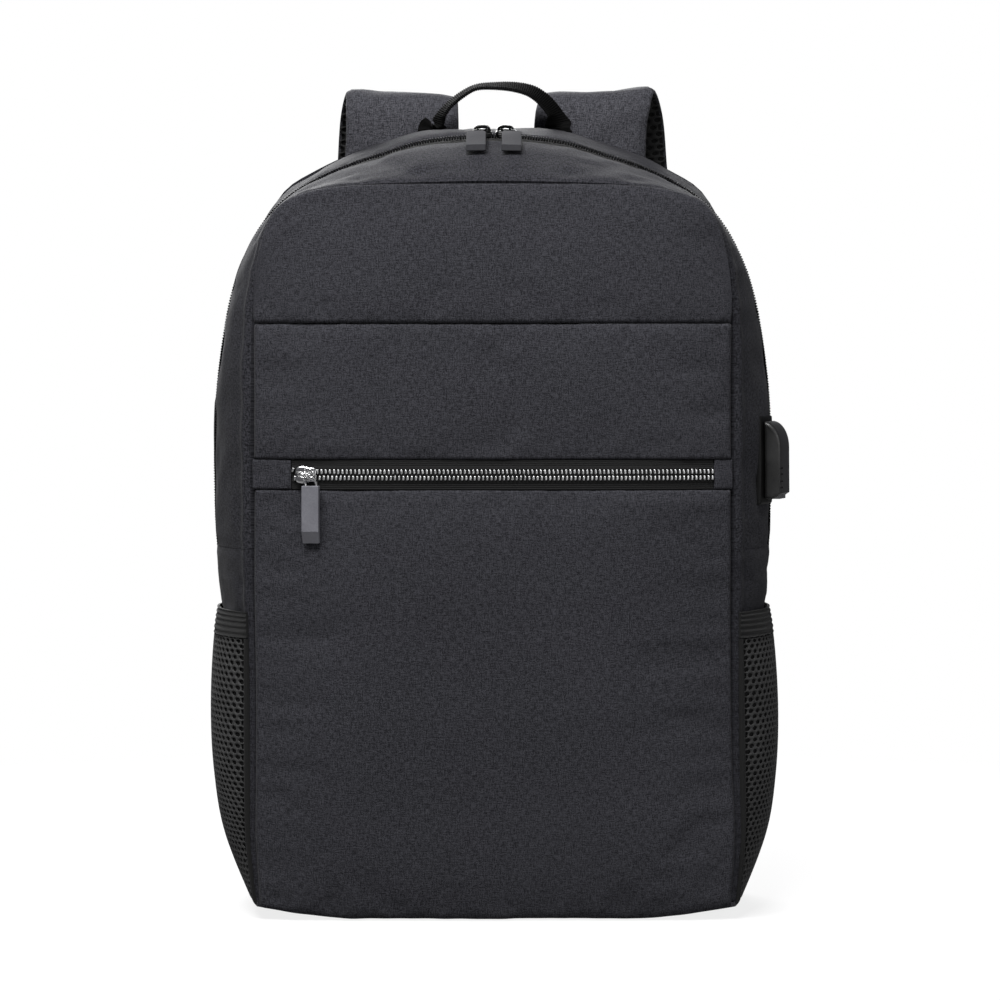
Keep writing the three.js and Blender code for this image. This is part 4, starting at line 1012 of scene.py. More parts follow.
def front_zip():
    left, right = share_at(WINDOW_LEFT, WINDOW_MIDDLE), share_at(WINDOW_RIGHT, WINDOW_MIDDLE)
    low, high = WINDOW_FOOT + GAP / 2, WINDOW_TOP - GAP / 2
    beads = lambda points, near: (
        0.45 * np.exp(-(((near[2] - (high - low) / 2 - 3.4) / 0.7) ** 2))
        + 0.45 * np.exp(-(((near[2] - (high - low) / 2 + 3.4) / 0.7) ** 2))
    )
    tape_piece = sheet(
        "front_tape", front_panel, np.linspace(left + 0.004, right - 0.004, 120),
        np.linspace(low, high, 41), tape, beads, TAPE_WALL, TAPE_RECESS,
    )
    fasten(tape_piece, "tape", "front_zip_tape")

    def tab(points, near):
        a, b, c, d = near
        ends = dip(a, 0.5, 1.2) + dip(b, 0.5, 1.2) + dip(b - 2.4, 0.3, 0.45) + dip(a - 2.4, 0.3, 0.45)
        return -0.5 + ends + roll(np.minimum(c, d), 1.2) * 0.8 + 0.15 * waves(points, 12, 21)

    for name, a, b, size in (
        ("zip_end_left", -1, left, 21), ("zip_end_right", right, 1, 10),
    ):
        made = sheet("cloth_" + name, front_panel, spread(a, b, size, 1.5), spread(low, high, high - low, 1.5),
                     cloth, tab)
        fasten(made, "cloth", name)

    # Teeth: upright bars with round heads in two rows, half a pitch apart, the rows open left of the slider
    pitch = 2.25
    bar = rounded(1.15, 2.5, 0.5, 3)
    lean = math.radians(4)
    for name, sign in (("upper", 1), ("lower", -1)):
        c, s = math.cos(lean * sign), math.sin(lean * sign)
        tooth = unit_of("tooth_" + name, slab(bar @ np.array([[c, s], [-s, c]]), -0.3, 1.2, 0.4, 3))
        shift = 0.0 if sign > 0 else pitch / 2
        x = np.linspace(WINDOW_LEFT + 1.4 + shift, WINDOW_RIGHT - 1.2, 300)
        share = np.array([share_at(value, WINDOW_MIDDLE) for value in x])
        level = WINDOW_MIDDLE + sign * (1.7 + 1.5 * smooth(-105.8, -109.0, x))
        n = normal_of(front_panel, share, level)
        place = front_panel(share, level) + n * (GAP - TAPE_RECESS + 0.35)
        made = set_along("front_teeth_" + name, place, n, tooth, pitch, silver, 0.05, 0.03, 5)
        fasten(made, "teeth", "front_zip_chain")


def side_waves(points, front):
    flat = 0.85 * np.exp(-((front / 8) ** 2))
    return (0.65 * waves(points, 75, 31) + 0.2 * waves(points, 22, 32)) * (1 - flat)


def hem_ridge(points, front):
    """The piping beside the front seam, and the shallow hollow behind it. Both fade out over the top."""
    ridge = 1.0 * np.exp(-(((front - 4.6) / 2.4) ** 2)) - 0.6 * np.exp(-(((front - 10.5) / 3.6) ** 2))
    top = smooth(330, 385, points[..., 2])
    return ridge * (1 - 0.9 * top) + dip(front, 1.0, 1.5) * (1.6 - top)


def gusset_relief(points, near):
    a, b, front, window = near
    calm = 1 - 0.75 * np.exp(-((window / 9) ** 2))
    return (
        side_waves(points, front) * calm + hem_ridge(points, front) + roll(window, 1.2) - 0.7 * np.exp(-((window / 4) ** 2))
        + pucker(points, window, 12, 0.12, 7, 33)
    )


def rear_relief(points, near):
    a, b, window, back = near
    calm = 1 - 0.75 * np.exp(-((window / 9) ** 2))
    return side_waves(points, back + 60) * calm + roll(window, 1.8) + roll(back, 2.5) + pucker(points, window, 12, 0.15, 7, 36)


def side_relief(points, near):
    a, b, front, back = near
    return side_waves(points, front) + hem_ridge(points, front) + roll(back, 2.5)


def gusset_pieces():
    length = lambda a, b: float(lengths(gusset(np.linspace(a, b, 400)[:, None], 0.5), 0)[-1, 0])
    round_it = spread(-ZIP_END, ZIP_END, length(-ZIP_END, ZIP_END))
    wide = lambda a, b: spread(a, b, (b - a) * 118, 2.5)
    below = ZIP_END + 0.02 / BAG_HEIGHT
    rows = (
        ("gusset_front", round_it, wide(FRONT_EDGE, ZIP_PLACE - HALF_WINDOW), gusset_relief),
        ("gusset_rear", round_it, wide(ZIP_PLACE + HALF_WINDOW, BACK_EDGE), rear_relief),
        ("side_left", spread(-BASE_END, -below, 190), wide(FRONT_EDGE, BACK_EDGE), side_relief),
        ("side_right", spread(below, BASE_END, 190), wide(FRONT_EDGE, BACK_EDGE), side_relief),
    )
    for name, us, vs, relief in rows:
        made = sheet("cloth_" + name, gusset, us, vs, gusset_cloth if name == "gusset_front" else side_cloth, relief,
                     settle=dict(pressure=1.0, slack=0.006, most=0.7, broad=0.3, seed=len(name)))
        fasten(made, "side_cloth", name)


def main_zip():
    inside = GAP / DEPTH
    low, high = ZIP_PLACE - HALF_WINDOW + inside, ZIP_PLACE + HALF_WINDOW - inside
    s = np.linspace(-ZIP_END, ZIP_END, 260)
    made = sheet("main_tape", gusset, s, np.linspace(low, high, 13), tape, None, TAPE_WALL, TAPE_RECESS)
    fasten(made, "tape", "main_zip_tape")
    arch = np.array([(0, -2.9, -0.2), (0.25, -2.6, 0.5), (0.1, -1.2, 0.85), (0, 0, 0.95),
                     (-0.1, 1.2, 0.85), (-0.25, 2.6, 0.5), (0, 2.9, -0.2)])
    turn = unit_of("coil_turn", tube(arch, 0.48, 6), 80)
    line = np.linspace(-ZIP_END, ZIP_END, 700)
    middle = np.full(len(line), ZIP_PLACE)
    n = normal_of(gusset, line, middle)
    raised = 0.1 + 0.7 * smooth(300, 390, gusset(line, middle)[:, 2:])
    place = gusset(line, middle) + n * (GAP - TAPE_RECESS + raised)
    made = set_along("main_coil", place, n, turn, 1.5, coil_nylon, 0.04, 0.03, 6)
    fasten(made, "coil", "main_zip_chain")


def base_piece():
    half_front, half_zip = outline(BASE_END)[0][0], outline(BASE_END)[1][0]

    def surface(u, v):
        half = mix(half_front, half_zip, 1 - np.abs(2 * v - 1) ** 2.2)
        return np.stack([u * half + SWAY, mix(front_y(0.0), BACK_Y, v) + 0 * u, base_rise(u)], -1)

    def relief(points, near):
        flat = smooth(0.62, 0.8, np.abs(points[..., 0]) / HALF_FRONT)
        return -0.35 * (1 - flat) * (0.5 + 0.5 * waves(points, 50, 41)) - 0.15

    made = sheet("cloth_base", surface, spread(-1, 1, 250, 4), spread(FRONT_EDGE, BACK_EDGE, 118, 4),
                 side_cloth, relief)
    fasten(made, "side_cloth", "base_panel")


# ---------------------------------------------------------------- side pockets


def pocket(name, side):
    bottom = float(side_at(CORNER_LIFT + WALL + GAP))
    top = float(side_at(POCKET_HEIGHT))
    foot = float(side_at(POCKET_HEIGHT - BAND_HEIGHT))
    front, back = FRONT_EDGE + 0.015, BACK_EDGE - 0.015
    surface = lambda s, v: gusset(side * s, v)

    def swell(s, v):
        up = (bottom - s) / (bottom - top)
        across = np.clip((v - front) / (back - front), 0, 1)
        return GAP + POCKET_SWELL * np.sin(np.pi * (0.02 + 0.93 * up)) * np.sin(np.pi * across) ** 0.55

    def over(s, v, off):
        return surface(s, v) + normal_of(surface, s, v) * (swell(s, v) + off)[..., None]

    height = float(lengths(surface(np.linspace(foot, bottom, 200)[:, None], 0.5), 0)[-1, 0])
    depth = (back - front) * 122
    net = net_over(
        "net_pocket_" + name,
        lambda x, y, off: over(bottom + (foot - bottom) * y / height, mix(front + 0.006, back - 0.02, x / depth), off),
        depth, height, 6.6, 3.2, 1.0, 0.72, net_yarn,
    )
    fasten(net, "net", "pocket_" + name)
    nu, nv = 60, 50
    s, v = np.meshgrid(np.linspace(foot, bottom, nu), np.linspace(front + 0.01, back - 0.01, nv), indexing="ij")
    outer, inner = over(s, v, np.full(s.shape, -0.15)), over(s, v, np.full(s.shape, -0.55))
    backing = make_piece("backing_pocket_" + name, np.concatenate([outer.reshape(-1, 3), inner.reshape(-1, 3)]),
                         grid_faces(nu, nv), lining)
    fasten(backing, "net", "pocket_" + name)

    def strip(label, s, v, relief, wall, finish, slot, node, step=None):
        nu, nv = s.shape
        lift = relief(s, v)
        outer = over(s, v, lift + wall)
        inner = over(s, v, lift * 0)
        run_u, run_v = lengths(outer, 0), lengths(outer, 1)
        uv = np.stack([run_v, run_u], -1).reshape(-1, 2)
        made = make_piece(label, np.concatenate([outer.reshape(-1, 3), inner.reshape(-1, 3)]),
                          grid_faces(nu, nv), finish, np.concatenate([uv, uv]), 50)
        return fasten(made, slot, node)

    s, v = np.meshgrid(np.linspace(foot - 0.0007, top, 64), np.linspace(front, back, 90), indexing="ij")
    ribs = lambda s, v: 0.24 * np.cos(2 * np.pi * 5 * (s - foot) / (top - foot)) - 0.3
    strip("band_pocket_" + name, s, v, ribs, 1.5, elastic, "webbing", "pocket_band_" + name)
    # A plain hem down each side of the net
    for label, a, b in (("front", front, front + 0.012), ("rear", back - 0.032, back)):
        s, v = np.meshgrid(np.linspace(foot, bottom, 70), np.linspace(a, b, 9), indexing="ij")
        hump = lambda s, v: 0.25 + 0.5 * np.sin(np.pi * (v - a) / (b - a))
        strip(f"hem_pocket_{name}_{label}", s, v, hump, 0.9, elastic, "net", "pocket_" + name)


# ---------------------------------------------------------------- sliders and pulls


def arch_bar(path, width, thick):
    """A rounded bar along a path in the x-z plane, its width along y."""
    path = np.asarray(path, float)
    along = unit(np.gradient(path, axis=0))
    section = rounded(width, thick, min(width, thick) * 0.35, 2)
    y = np.array([0, 1.0, 0])
    rings = [place + section[:, :1] * y + section[:, 1:] * np.cross(way, y) for place, way in zip(path, along)]
    return loft(rings)


def slider_shape(bridge):
    """A slider seen from outside: a plate with a flange below, two domed lobes and the bridge between them."""
    half, nose = 4.8, 5.5
    side = [(-nose, 0.7), (-nose * 0.75, 0.78), (-nose * 0.4, 0.84), (-nose * 0.1, 0.96), (nose * 0.3, 1.02),
            (nose * 0.65, 0.98), (nose * 0.86, 0.84), (nose, 0.5)]
    upper = np.array([(-x, y * half) for x, y in side])
    plan = np.concatenate([upper, upper[::-1] * [1, -1]])
    plate = slab(plan, 0, 1.5, 0.55, 4)
    lobe = np.array([(-5.1, 0.9), (1.5, 0.9), (4.4, 1.0), (5.2, 1.5), (4.3, 2.7), (2.2, 3.9), (-0.6, 4.6),
                     (-3.4, 4.6), (-4.8, 4.0), (-5.3, 2.8)])
    lobes = [slab(lobe, 1.0, 2.7, 0.95, 5), slab((lobe * [1, -1])[::-1], 1.0, 2.7, 0.95, 5)]
    reach = nose * 0.68 + 0.6
    t = np.linspace(0, math.pi, 17)
    arch = np.column_stack([-np.sign(np.cos(t)) * reach * np.abs(np.cos(t)) ** 0.75, 0 * t,
                            0.6 + (bridge + 1.3) * np.abs(np.sin(t)) ** 0.62])
    flange = slab(plan * [0.92, 1.0], -1.2, 0.3, 0.3, 2)
    return join(plate, *lobes, arch_bar(arch, 1.7, 1.25), flange)


def tab_shape(width, length, bevel, x, top):
    """A rubber tab that hangs towards -y from top, its end cut away at a slope on the outer side."""
    thick, cut = (3.6 if bevel < 5 else 4.6), 2.2
    slope = 0.28 if bevel < 5 else 0.0
    profile = np.array([(0, 0), (cut, 0), (length * 0.5, 0), (length - 0.6, 0), (length, 0.5), (length, thick * 0.24),
                        (length - bevel, thick),
                        (length * 0.4, thick), (cut, thick), (0.5, thick), (0, thick - 0.5)])
    points, faces = slab(profile, -width / 2, width / 2, 0.55, 3)
    narrow = 1 - slope * np.clip(1 - points[:, 0] / cut, 0, 1)
    placed = np.column_stack([points[:, 2] * narrow + x, top - points[:, 0], points[:, 1] - thick / 2])
    return placed, faces


def pull_shapes(width, length, bevel, shift, drop, bridge):
    """The wire round a slider's bridge and the tab that it carries, about the middle of the bridge."""
    rest, top = 4.6 / 2 - bridge - 0.6, -4.8 - drop
    around = math.hypot(2.2, 1.2) / 2 + 0.55 + GAP

    def ring(degrees, x):
        turn = math.radians(degrees)
        return (x + shift * 0.2, -around * math.cos(turn), -around * math.sin(turn))

    if bridge > 4:
        held = [ring(20, -0.9), ring(90, -0.5), ring(160, -0.3), ring(230, 0.1), ring(290, 1.1)]
    else:
        held = [(-2.4, -2.2, -1.6), (-2.1, 0.2, -1.45), (-1.2, 1.3, -1.45), (1.2, 1.3, -1.45), (2.1, 0.2, -1.45),
                (2.4, -2.2, -1.6)]
    wire = [(shift - 2.9, top - 1.0, rest), (shift - 2.9, top + 1.4, rest)] + held
    wire += [(shift + 2.9, top + 1.6, rest + 0.4), (shift + 2.9, top - 1.0, rest)]
    points, faces = tab_shape(width, length, bevel, shift, top - GAP)
    points[:, 2] += rest
    return tube(curve_points(wire, 80), 0.7 if bridge > 4 else 0.6, 10), (points, faces)


PULLS = (  # name, surface, u, v, width, length, bevel, shift, drop, bridge, droop, rubber, metal, slot
    ("front", front_panel, share_at(-100.2, WINDOW_MIDDLE), WINDOW_MIDDLE,
     9.4, 31, 6.4, 3.2, 0.8, 4.2, 0, rubber, chrome, "bright_metal"),
    ("main_left", gusset, float(top_at(-5.8)), ZIP_PLACE,
     10.8, 25.7, 1.4, -3.2, 4.1, 3.0, 5, dark_rubber, gunmetal, "dark_metal"),
    ("main_right", gusset, float(top_at(7.1)), ZIP_PLACE,
     10.8, 25.7, 1.4, 3.2, 4.1, 3.0, 5, dark_rubber, gunmetal, "dark_metal"),
)


def sliders():
    on_chain = 2 * GAP + CHAIN_THICKNESS - TAPE_RECESS
    for name, surface, u, v, width, length, bevel, shift, drop, bridge, droop, grip_finish, metal, slot in PULLS:
        origin, axes = seat(surface, u, v, on_chain, np.array([1.0, 0, 0]))
        body = make_piece(name + "_zip_slider", *stand(slider_shape(bridge), origin, axes), metal, sharp=50)
        fasten(body, slot, name + "_slider")
        c, s = math.cos(math.radians(droop)), math.sin(math.radians(droop))
        hang = np.array([[1, 0, 0], [0, c, s], [0, -s, c]])
        pivot = [0, 0, 1.5 + bridge + 0.6]
        wire, tab = ((p @ hang + pivot, f) for p, f in pull_shapes(width, length, bevel, shift, drop, bridge))
        loop = make_piece(name + "_wire_loop", *stand(wire, origin, axes), metal, sharp=80)
        fasten(loop, slot, name + "_pull_loop", body=name + "_pull")
        grip = make_piece(name + "_rubber_tab", *stand(tab, origin, axes), grip_finish, sharp=18)
        fasten(grip, "rubber", name + "_pull_tab", body=name + "_pull")


# ---------------------------------------------------------------- charging port


def carve(piece, *shapes):
    """Cuts closed shapes out of a piece."""
    for k, shape in enumerate(shapes):
        cutter = make_piece(f"{piece.name}_cutter_{k}", *shape, finish=None)
        cut = piece.modifiers.new("cut", "BOOLEAN")
        cut.operation, cut.solver, cut.object = "DIFFERENCE", "EXACT", cutter
        bpy.context.view_layer.update()
        mesh = bpy.data.meshes.new_from_object(piece.evaluated_get(bpy.context.evaluated_depsgraph_get()))
        piece.modifiers.remove(cut)
        bpy.data.objects.remove(cutter)
        piece.data = mesh
    piece.data.shade_smooth()
    piece.data.set_sharp_from_angle(angle=math.radians(40))
    return piece


def block(x0, x1, y0, y1, z0, z1, ease=0.3):
    return slab([(x0, y0), (x1, y0), (x1, y1), (x0, y1)], z0, z1, ease, 2)


def charging_port():
    s = float(side_at(PORT_HEIGHT))
    depth = BACK_Y - front_y(float(outline(s)[0][1]))
    half_v = 12 / depth
    us = spread(float(side_at(271.7)), float(side_at(223.3)), 48, 1.5)
    vs = spread(0.3 - half_v, 0.3 + half_v, 24, 1.5)
    # The plate's near-black finish is partly painted shade beside the hood.
    plate = sheet("port_base", gusset, us, vs, plate_plastic,
                  lambda p, near: roll(np.minimum.reduce(near), 1.2), 1.4, -GAP - 1.4)
    fasten(plate, "plastic", "port_plate")
    origin, axes = seat(gusset, s, 0.3, 2 * GAP + 1.4, np.array([0, 1.0, 0]))
    turn = np.linspace(0, math.pi / 2, 13)
    arch = np.column_stack([PORT_REACH * np.cos(turn), PORT_HALF - PORT_CROWN + PORT_CROWN * np.sin(turn)])
    profile = np.vstack([(-0.1, -PORT_HALF), (4.3, -PORT_HALF), (PORT_REACH, 3.2 - PORT_HALF), arch[:-1],
                         (0.8, PORT_HALF), (-0.1, PORT_HALF)])
    points, faces = slab(profile, -10.4, 10.4, 2.0, 5)
    hood = make_piece("port_shell", *stand((points[:, ::-1].copy(), faces), origin, axes), plastic)
    socket = block(-6.9, 6.9, -PORT_HALF - 2, 10.3 - PORT_HALF, 1.6, 8.0, 0.6)
    slits = [block(-12, -5.5, y - 0.42, y + 0.42, PORT_REACH - 0.7, PORT_REACH + 2, 0.1)
             for y in (-4.3, -7.6, -11.5, -14.8)]
    carve(hood, *(stand(shape, origin, axes) for shape in [socket] + slits))
    fasten(hood, "plastic", "port_hood")


# ---------------------------------------------------------------- handle and straps


def handle():
    left, right = -33.0, 35.0

    def foot(x):
        s, v = np.array(float(top_at(x))), np.array(0.9)
        n = normal_of(gusset, s, v)
        place = gusset(s, v) + n * GAP
        side = unit(gusset(s + math.copysign(0.01, x), v) - place)
        return [(place, side, 18.0), (place + n * HANDLE_STUB, side, 13.0)]

    rows = (
        (0.04, 0.13, (-0.7, 0.8, 0)), (0.075, 0.34, (-0.35, 1, 0)), (0.132, 0.55, (-0.2, 1, 0.12)),
        (0.239, 0.8, (-0.15, 1, 0.15)), (0.35, 0.965, (-0.05, 1, 0.18)), (0.5, 1, (0, 1, 0.24)),
        (0.675, 0.97, (0.1, 1, 0.34)), (0.8, 0.87, (0.25, 1, 0.38)), (0.897, 0.67, (0.4, 1, 0.34)),
        (0.98, 0.38, (0.55, 1, 0.18)), (1, 0.18, (0.9, 0.6, 0)),
    )
    a, b = foot(left), foot(right)
    top = BAG_HEIGHT + HANDLE_RISE - 1.8
    between = []
    for across, up, side in rows:
        place = mix(a[0][0], b[0][0], across).copy()
        place[2] = mix(place[2], top, up)
        between.append((place, side, 10.0 if up < 0.15 else 18.0))
    path = Ribbon(a + between + b[::-1], 160)
    plain = flat_section(1.9, count=16)
    # Woven ribs lie across the handle, raised 0.2 mm every 1.2 mm
    ribbed = lambda run: plain * [1, 1 + 0.3 * math.cos(2 * math.pi * run / 1.2)]
    points, faces, uv = path.sweep(ribbed, 0.3)
    made = make_piece("carry_handle", points, faces, webbing, uv, 60)
    fasten(made, "webbing", "handle")


STRAP_ROWS = (  # out, up, splay, width share, tilt
    (0, 0.935, 0, 1, 0), (0, 0.985, 0, 1, 0.02), (0.08, 1.025, 0.02, 1, 0.05), (0.28, 1.043, 0.08, 1, 0.06),
    (0.5, 1.015, 0.15, 1, 0), (0.63, 0.94, 0.2, 1, 0), (0.8, 0.8, 0.35, 1, 0), (0.9, 0.64, 0.55, 0.95, 0),
    (0.8, 0.48, 0.78, 0.8, 0), (0.56, 0.35, 0.95, 0.5, 0), (0.45, 0.275, 1, 0.15, 0),
)
LEFT_LEAN = (-2, -3.5, -3.5, -3.5, -1, 0.5, 1, 0, 0, 0, 0)  # the left strap falls further outwards, row by row


def strap_section(half):
    """The ring of a padded strap: crowned face, round edges, and a flat inner side that its net covers."""
    x = np.linspace(0, half - 3, 14)
    face = np.column_stack([x, -3.6 - 1.6 * np.sqrt(np.maximum(0, 1 - (x / (half - 2.5)) ** 6))])
    face[:, 1] += 0.45 * np.exp(-(((x - (half - 6.2)) / 0.9) ** 2))
    t = np.linspace(-math.pi / 2, math.radians(20), 9)[1:]
    edge = np.column_stack([half - 3 + 3 * np.cos(t), -0.4 + 3 * np.sin(t)])
    hem = np.array([(half - 1.4, 0.62), (half - 3.3, -0.1)])
    right = np.concatenate([face, edge, hem])
    return np.concatenate([right, (right * [-1, 1])[::-1][:-1]])


def strap(name, side):
    rows = []
    for k, (out, up, splay, wide, tilt) in enumerate(STRAP_ROWS):
        lean = out * 9 - (LEFT_LEAN[k] if side < 0 else 0)
        place = (side * mix(55, 98, splay) + lean, BACK_Y + 0.6 + 6 + out * 62, up * BAG_HEIGHT)
        rows.append((place, (1, 0, side * tilt), mix(40, 64, wide)))
    path = Ribbon(rows, 300)

    swelling = settled(lambda run, w: path.at(run, w, -5.0 + 0 * run), (4.0, path.length - 4.0), (-0.85, 0.85),
                       most=0.6, seed=20 + side, away=np.array([0, BACK_Y + 20, 300.0]))

    def section(run):
        half = float(np.interp(run, path.run, path.width)) / 2
        ring = strap_section(half) / [half, 1]
        face = smooth(-3.0, -4.2, ring[:, 1])
        held = smooth(0, 12, run) * smooth(0, 12, path.length - run)
        ring[:, 1] -= swelling(np.full(len(ring), run), ring[:, 0]) * face * held
        return ring

    points, faces, uv = path.sweep(section, 3.0)
    pad = make_piece("padded_strap_" + name, points, faces, strap_cloth, uv, 60)
    fasten(pad, "cloth", "strap_" + name)

    def over(x, y, off):
        half = np.interp(y, path.run, path.width) / 2
        w = (2 * x / 64 - 1) * (half - 0.5) / half
        return path.at(y, w, 0.75 + off)

    net = net_over("net_strap_" + name, over, 64, path.length - 1, 7.6, 3.7, 1.15, 0.62, pad_net)
    fasten(net, "net", "strap_net_" + name)
    flat = np.array([(-1, 0.66), (1, 0.66), (1, 0.9), (-1, 0.9)])
    shares = lambda run: flat * [1 - 1.6 / (float(np.interp(run, path.run, path.width)) / 2), 1]
    points, faces, uv = path.sweep(shares, 5.0)
    backing = make_piece("backing_strap_" + name, points, faces, lining, uv)
    fasten(backing, "net", "strap_net_" + name)

    end = path.place[-1]
    up = unit(np.array(path.place[-21] - end))
    across = unit(np.array([1.0, 0, 0]) - up * up[0])
    out = np.cross(across, up)
    if out[1] < 0:
        out = -out
    middle = end - up * 32
    local = lambda y, z: middle + up * y + out * z
    half, bar = 13.5, 3.0
    bar_top = half - bar / 2
    around = math.hypot(3, 2.6) / 2 + 1.5 * GAP + 0.9
    face = 6 + 3 * GAP + 0.9
    turn = lambda y, a, b: [local(y + around * math.sin(t * math.pi / 2), around * math.cos(t * math.pi / 2))
                            for t in np.linspace(a, b, 5)]

    def strip(label, points, node):
        ribbon = Ribbon([(p, across, 20.0) for p in points], 160)
        made = make_piece(label, *ribbon_mesh(ribbon), webbing, ribbon.uv, 60)
        fasten(made, "webbing", node)
        return ribbon

    upper = [local(32 + 24, face), local(32 + 2, face), local(half + 5.5, around + 0.9)]
    upper += turn(bar_top, 0, -2) + [local(half + 5.5, 0.9 - around)]
    strip("adjuster_webbing_" + name, upper, "webbing_upper_" + name)

    turned = np.stack([across, up, np.cross(across, up)])
    frame_bars = []
    for x in (-13.5, 13.5):
        frame_bars.append(slab(rounded(3.2, 27.4, 1.3, 3) + [x, 0], -1.3, 1.3, 0.6, 3))
    for y in (-12, 0, 12):
        frame_bars.append(slab(rounded(29, 3.2, 1.2, 3) + [0, y], -1.25, 1.25, 0.6, 3))
    buckle = make_piece("ladder_buckle_" + name, *stand(join(*frame_bars), middle, turned), plastic)
    fasten(buckle, "plastic", "buckle_" + name)

    seam = [back_panel(np.array(side * 0.96), np.array(36 + share * 44)) + [0, GAP + 1.5, 0] for share in (-0.5, 0.5)]
    root = (seam[0] + seam[1]) / 2
    towards = unit(local(-half, -around) - root)
    point = root + towards * 32
    webbing_side = unit(across - towards * (towards @ across))
    tip = [point + webbing_side * side * k * 10 for k in (-1, 1)]

    def wing(u, v):
        u, v = u[..., None], v[..., None]
        return mix(mix(seam[0], seam[1], v), mix(tip[0], tip[1], v), u)

    relief = lambda p, near: roll(np.minimum.reduce(near), 1.3) + dip(np.abs(np.minimum.reduce(near) - 3.2), 0.3, 0.7)
    made = sheet("wing_" + name, wing, spread(0, 1, 32, 1.5), spread(0, 1, 34, 1.5), side_cloth, relief, 3.0, -1.5)
    fasten(made, "side_cloth", "anchor_" + name)

    start = point + towards * (GAP + 0.9)
    drop = lambda share, away: local(-half, around) + [0, away, -share * 70]
    lower = [start, mix(start, local(-half, -around), 0.5), local(-half, -around)]
    lower += turn(0, 2, 0) + [local(-half, around), drop(0.4, 1.5), drop(0.75, 3), drop(1, 3)]
    strip("lower_webbing_" + name, lower, "webbing_lower_" + name)


def ribbon_mesh(ribbon):
    points, faces, ribbon.uv = ribbon.sweep(flat_section(1.8, 8, 0.18), 1.5)
    return points, faces


# ---------------------------------------------------------------- back


def back_pieces():
    vs = np.concatenate([spread(0, BACK_TOP, BACK_TOP, 5)])
    relief = lambda p, near: 0.3 * waves(p, 60, 51) - 0.4 + roll(np.minimum(near[0], near[1]), 2.5)
    made = sheet("cloth_back", back_panel, spread(-1, 1, 280, 5), vs, side_cloth, relief)
    fasten(made, "side_cloth", "back_panel")
    low, high, half = 34.0, 388.0, 111.0

    def pad_shape(x, z):
        u, h = x / half, (z - low) / (high - low)
        edge = np.sqrt(np.maximum(0, (1 - np.abs(u) ** 6) * (1 - np.abs(2 * h - 1) ** 10)))
        channel = 0
        for level in (110, 200, 290):
            channel = channel + np.exp(-(((z - level) / 5) ** 2))
        channel = channel + np.exp(-((x / 6) ** 2))
        return GAP + 1.2 + 8.2 * edge * (1 - 0.55 * np.clip(channel, 0, 1))

    swelling = settled(lambda x, z: np.stack([x, BACK_Y + pad_shape(x, z), z], -1), (-half, half), (low, high),
                       most=1.6, seed=9)
    thick = lambda x, z: pad_shape(x, z) + swelling(x, z)

    nu, nv = 90, 130
    x, z = np.meshgrid(spread(-half, half, 2 * half), spread(low, high, high - low), indexing="ij")
    outer = np.stack([x, BACK_Y + thick(x, z) - 1.0, z], -1)
    inner = np.stack([x, np.full_like(x, BACK_Y + GAP), z], -1)
    pad = make_piece("back_padding", np.concatenate([outer.reshape(-1, 3), inner.reshape(-1, 3)]),
                     grid_faces(*x.shape), lining)
    fasten(pad, "net", "back_pad")
    net = net_over(
        "net_back_pad",
        lambda x, z, off: np.stack([x - half, BACK_Y + thick(x - half, z + low) - 0.9 + off, z + low], -1),
        2 * half, high - low, 8.8, 4.3, 1.1, 0.62, pad_net,
    )
    fasten(net, "net", "back_pad")


# ---------------------------------------------------------------- stage


def area_light(name, place, size, power, tall=None):
    data = bpy.data.lights.new(name, "AREA")
    data.energy = power
    data.shape = "RECTANGLE"
    data.size, data.size_y = size, tall or size
    light = bpy.data.objects.new(name, data)
    bpy.context.scene.collection.objects.link(light)
    light.location = place
    light.rotation_euler = (Vector((0, 0, 0.22)) - Vector(place)).to_track_quat("-Z", "Y").to_euler()


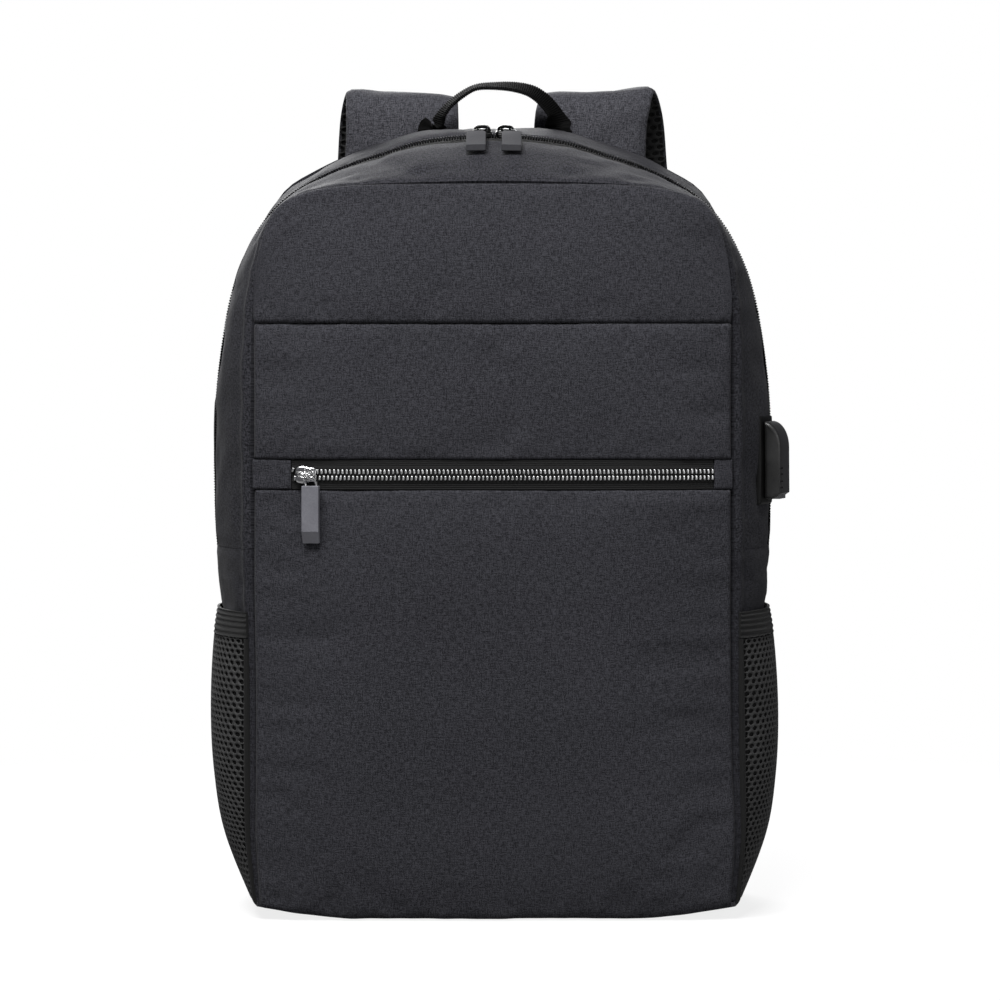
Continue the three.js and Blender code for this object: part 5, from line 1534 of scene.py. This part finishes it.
def stage():
    """A pale floor that fades into the white round it, one large soft light high up at the front and weak ones."""
    mesh = bpy.data.meshes.new("floor")
    ring = [(8 * math.cos(a), 8 * math.sin(a), -0.0005) for a in np.linspace(0, 2 * math.pi, 65)[:-1]]
    mesh.from_pydata(ring, [], [list(range(64))])
    finish = bpy.data.materials.new("pale_floor")
    finish.use_nodes = True
    tree = finish.node_tree
    tree.nodes.clear()
    seen = put(tree, "ShaderNodeLightPath").outputs["Is Camera Ray"]
    far = put(tree, "ShaderNodeVectorMath", {0: put(tree, "ShaderNodeTexCoord").outputs["Object"]},
              operation="LENGTH").outputs["Value"]
    matt = put(tree, "ShaderNodeBsdfDiffuse", {"Color": blend_colours(tree, seen, (0.2, 0.2, 0.2, 1), (0.9, 0.9, 0.9, 1))})
    white = put(tree, "ShaderNodeEmission", {"Color": (1, 1, 1, 1)})
    fade = sums(tree, span(tree, far, 0.2, 0.8, 0.82, 1.0), seen, "MULTIPLY")
    shade = put(tree, "ShaderNodeMixShader", {0: fade, 1: matt.outputs[0], 2: white.outputs[0]})
    put(tree, "ShaderNodeOutputMaterial", {"Surface": shade.outputs[0]})
    mesh.materials.append(finish)
    floor = bpy.data.objects.new("floor", mesh)
    bpy.context.scene.collection.objects.link(floor)
    world = bpy.data.worlds.new("studio")
    bpy.context.scene.world = world
    world.use_nodes = True
    tree = world.node_tree
    tree.nodes.clear()
    seen = put(tree, "ShaderNodeLightPath").outputs["Is Camera Ray"]
    colour = blend_colours(tree, seen, (0.11, 0.11, 0.12, 1), (1, 1, 1, 1))
    background = put(tree, "ShaderNodeBackground", {"Color": colour, "Strength": 1.0})
    put(tree, "ShaderNodeOutputWorld", {"Surface": background.outputs[0]})
    area_light("key", (-0.34, -0.86, 1.6), 1.0, 44, 0.8)
    area_light("fill", (1.5, -2.0, 0.9), 1.2, 14)
    area_light("rear", (-0.3, 2.1, 1.35), 1.2, 90)
    bpy.context.scene.view_settings.view_transform = "Standard"


# ---------------------------------------------------------------- the whole

front_pieces()
front_zip()
gusset_pieces()
main_zip()
base_piece()
pocket("left", -1)
pocket("right", 1)
sliders()
charging_port()
handle()
strap("left", -1)
strap("right", 1)
back_pieces()
for node, finish in (("port_socket", socket_metal), ("port_tongue", plastic)):
    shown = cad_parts[node].data.materials
    shown.clear()
    shown.append(finish)
stage()
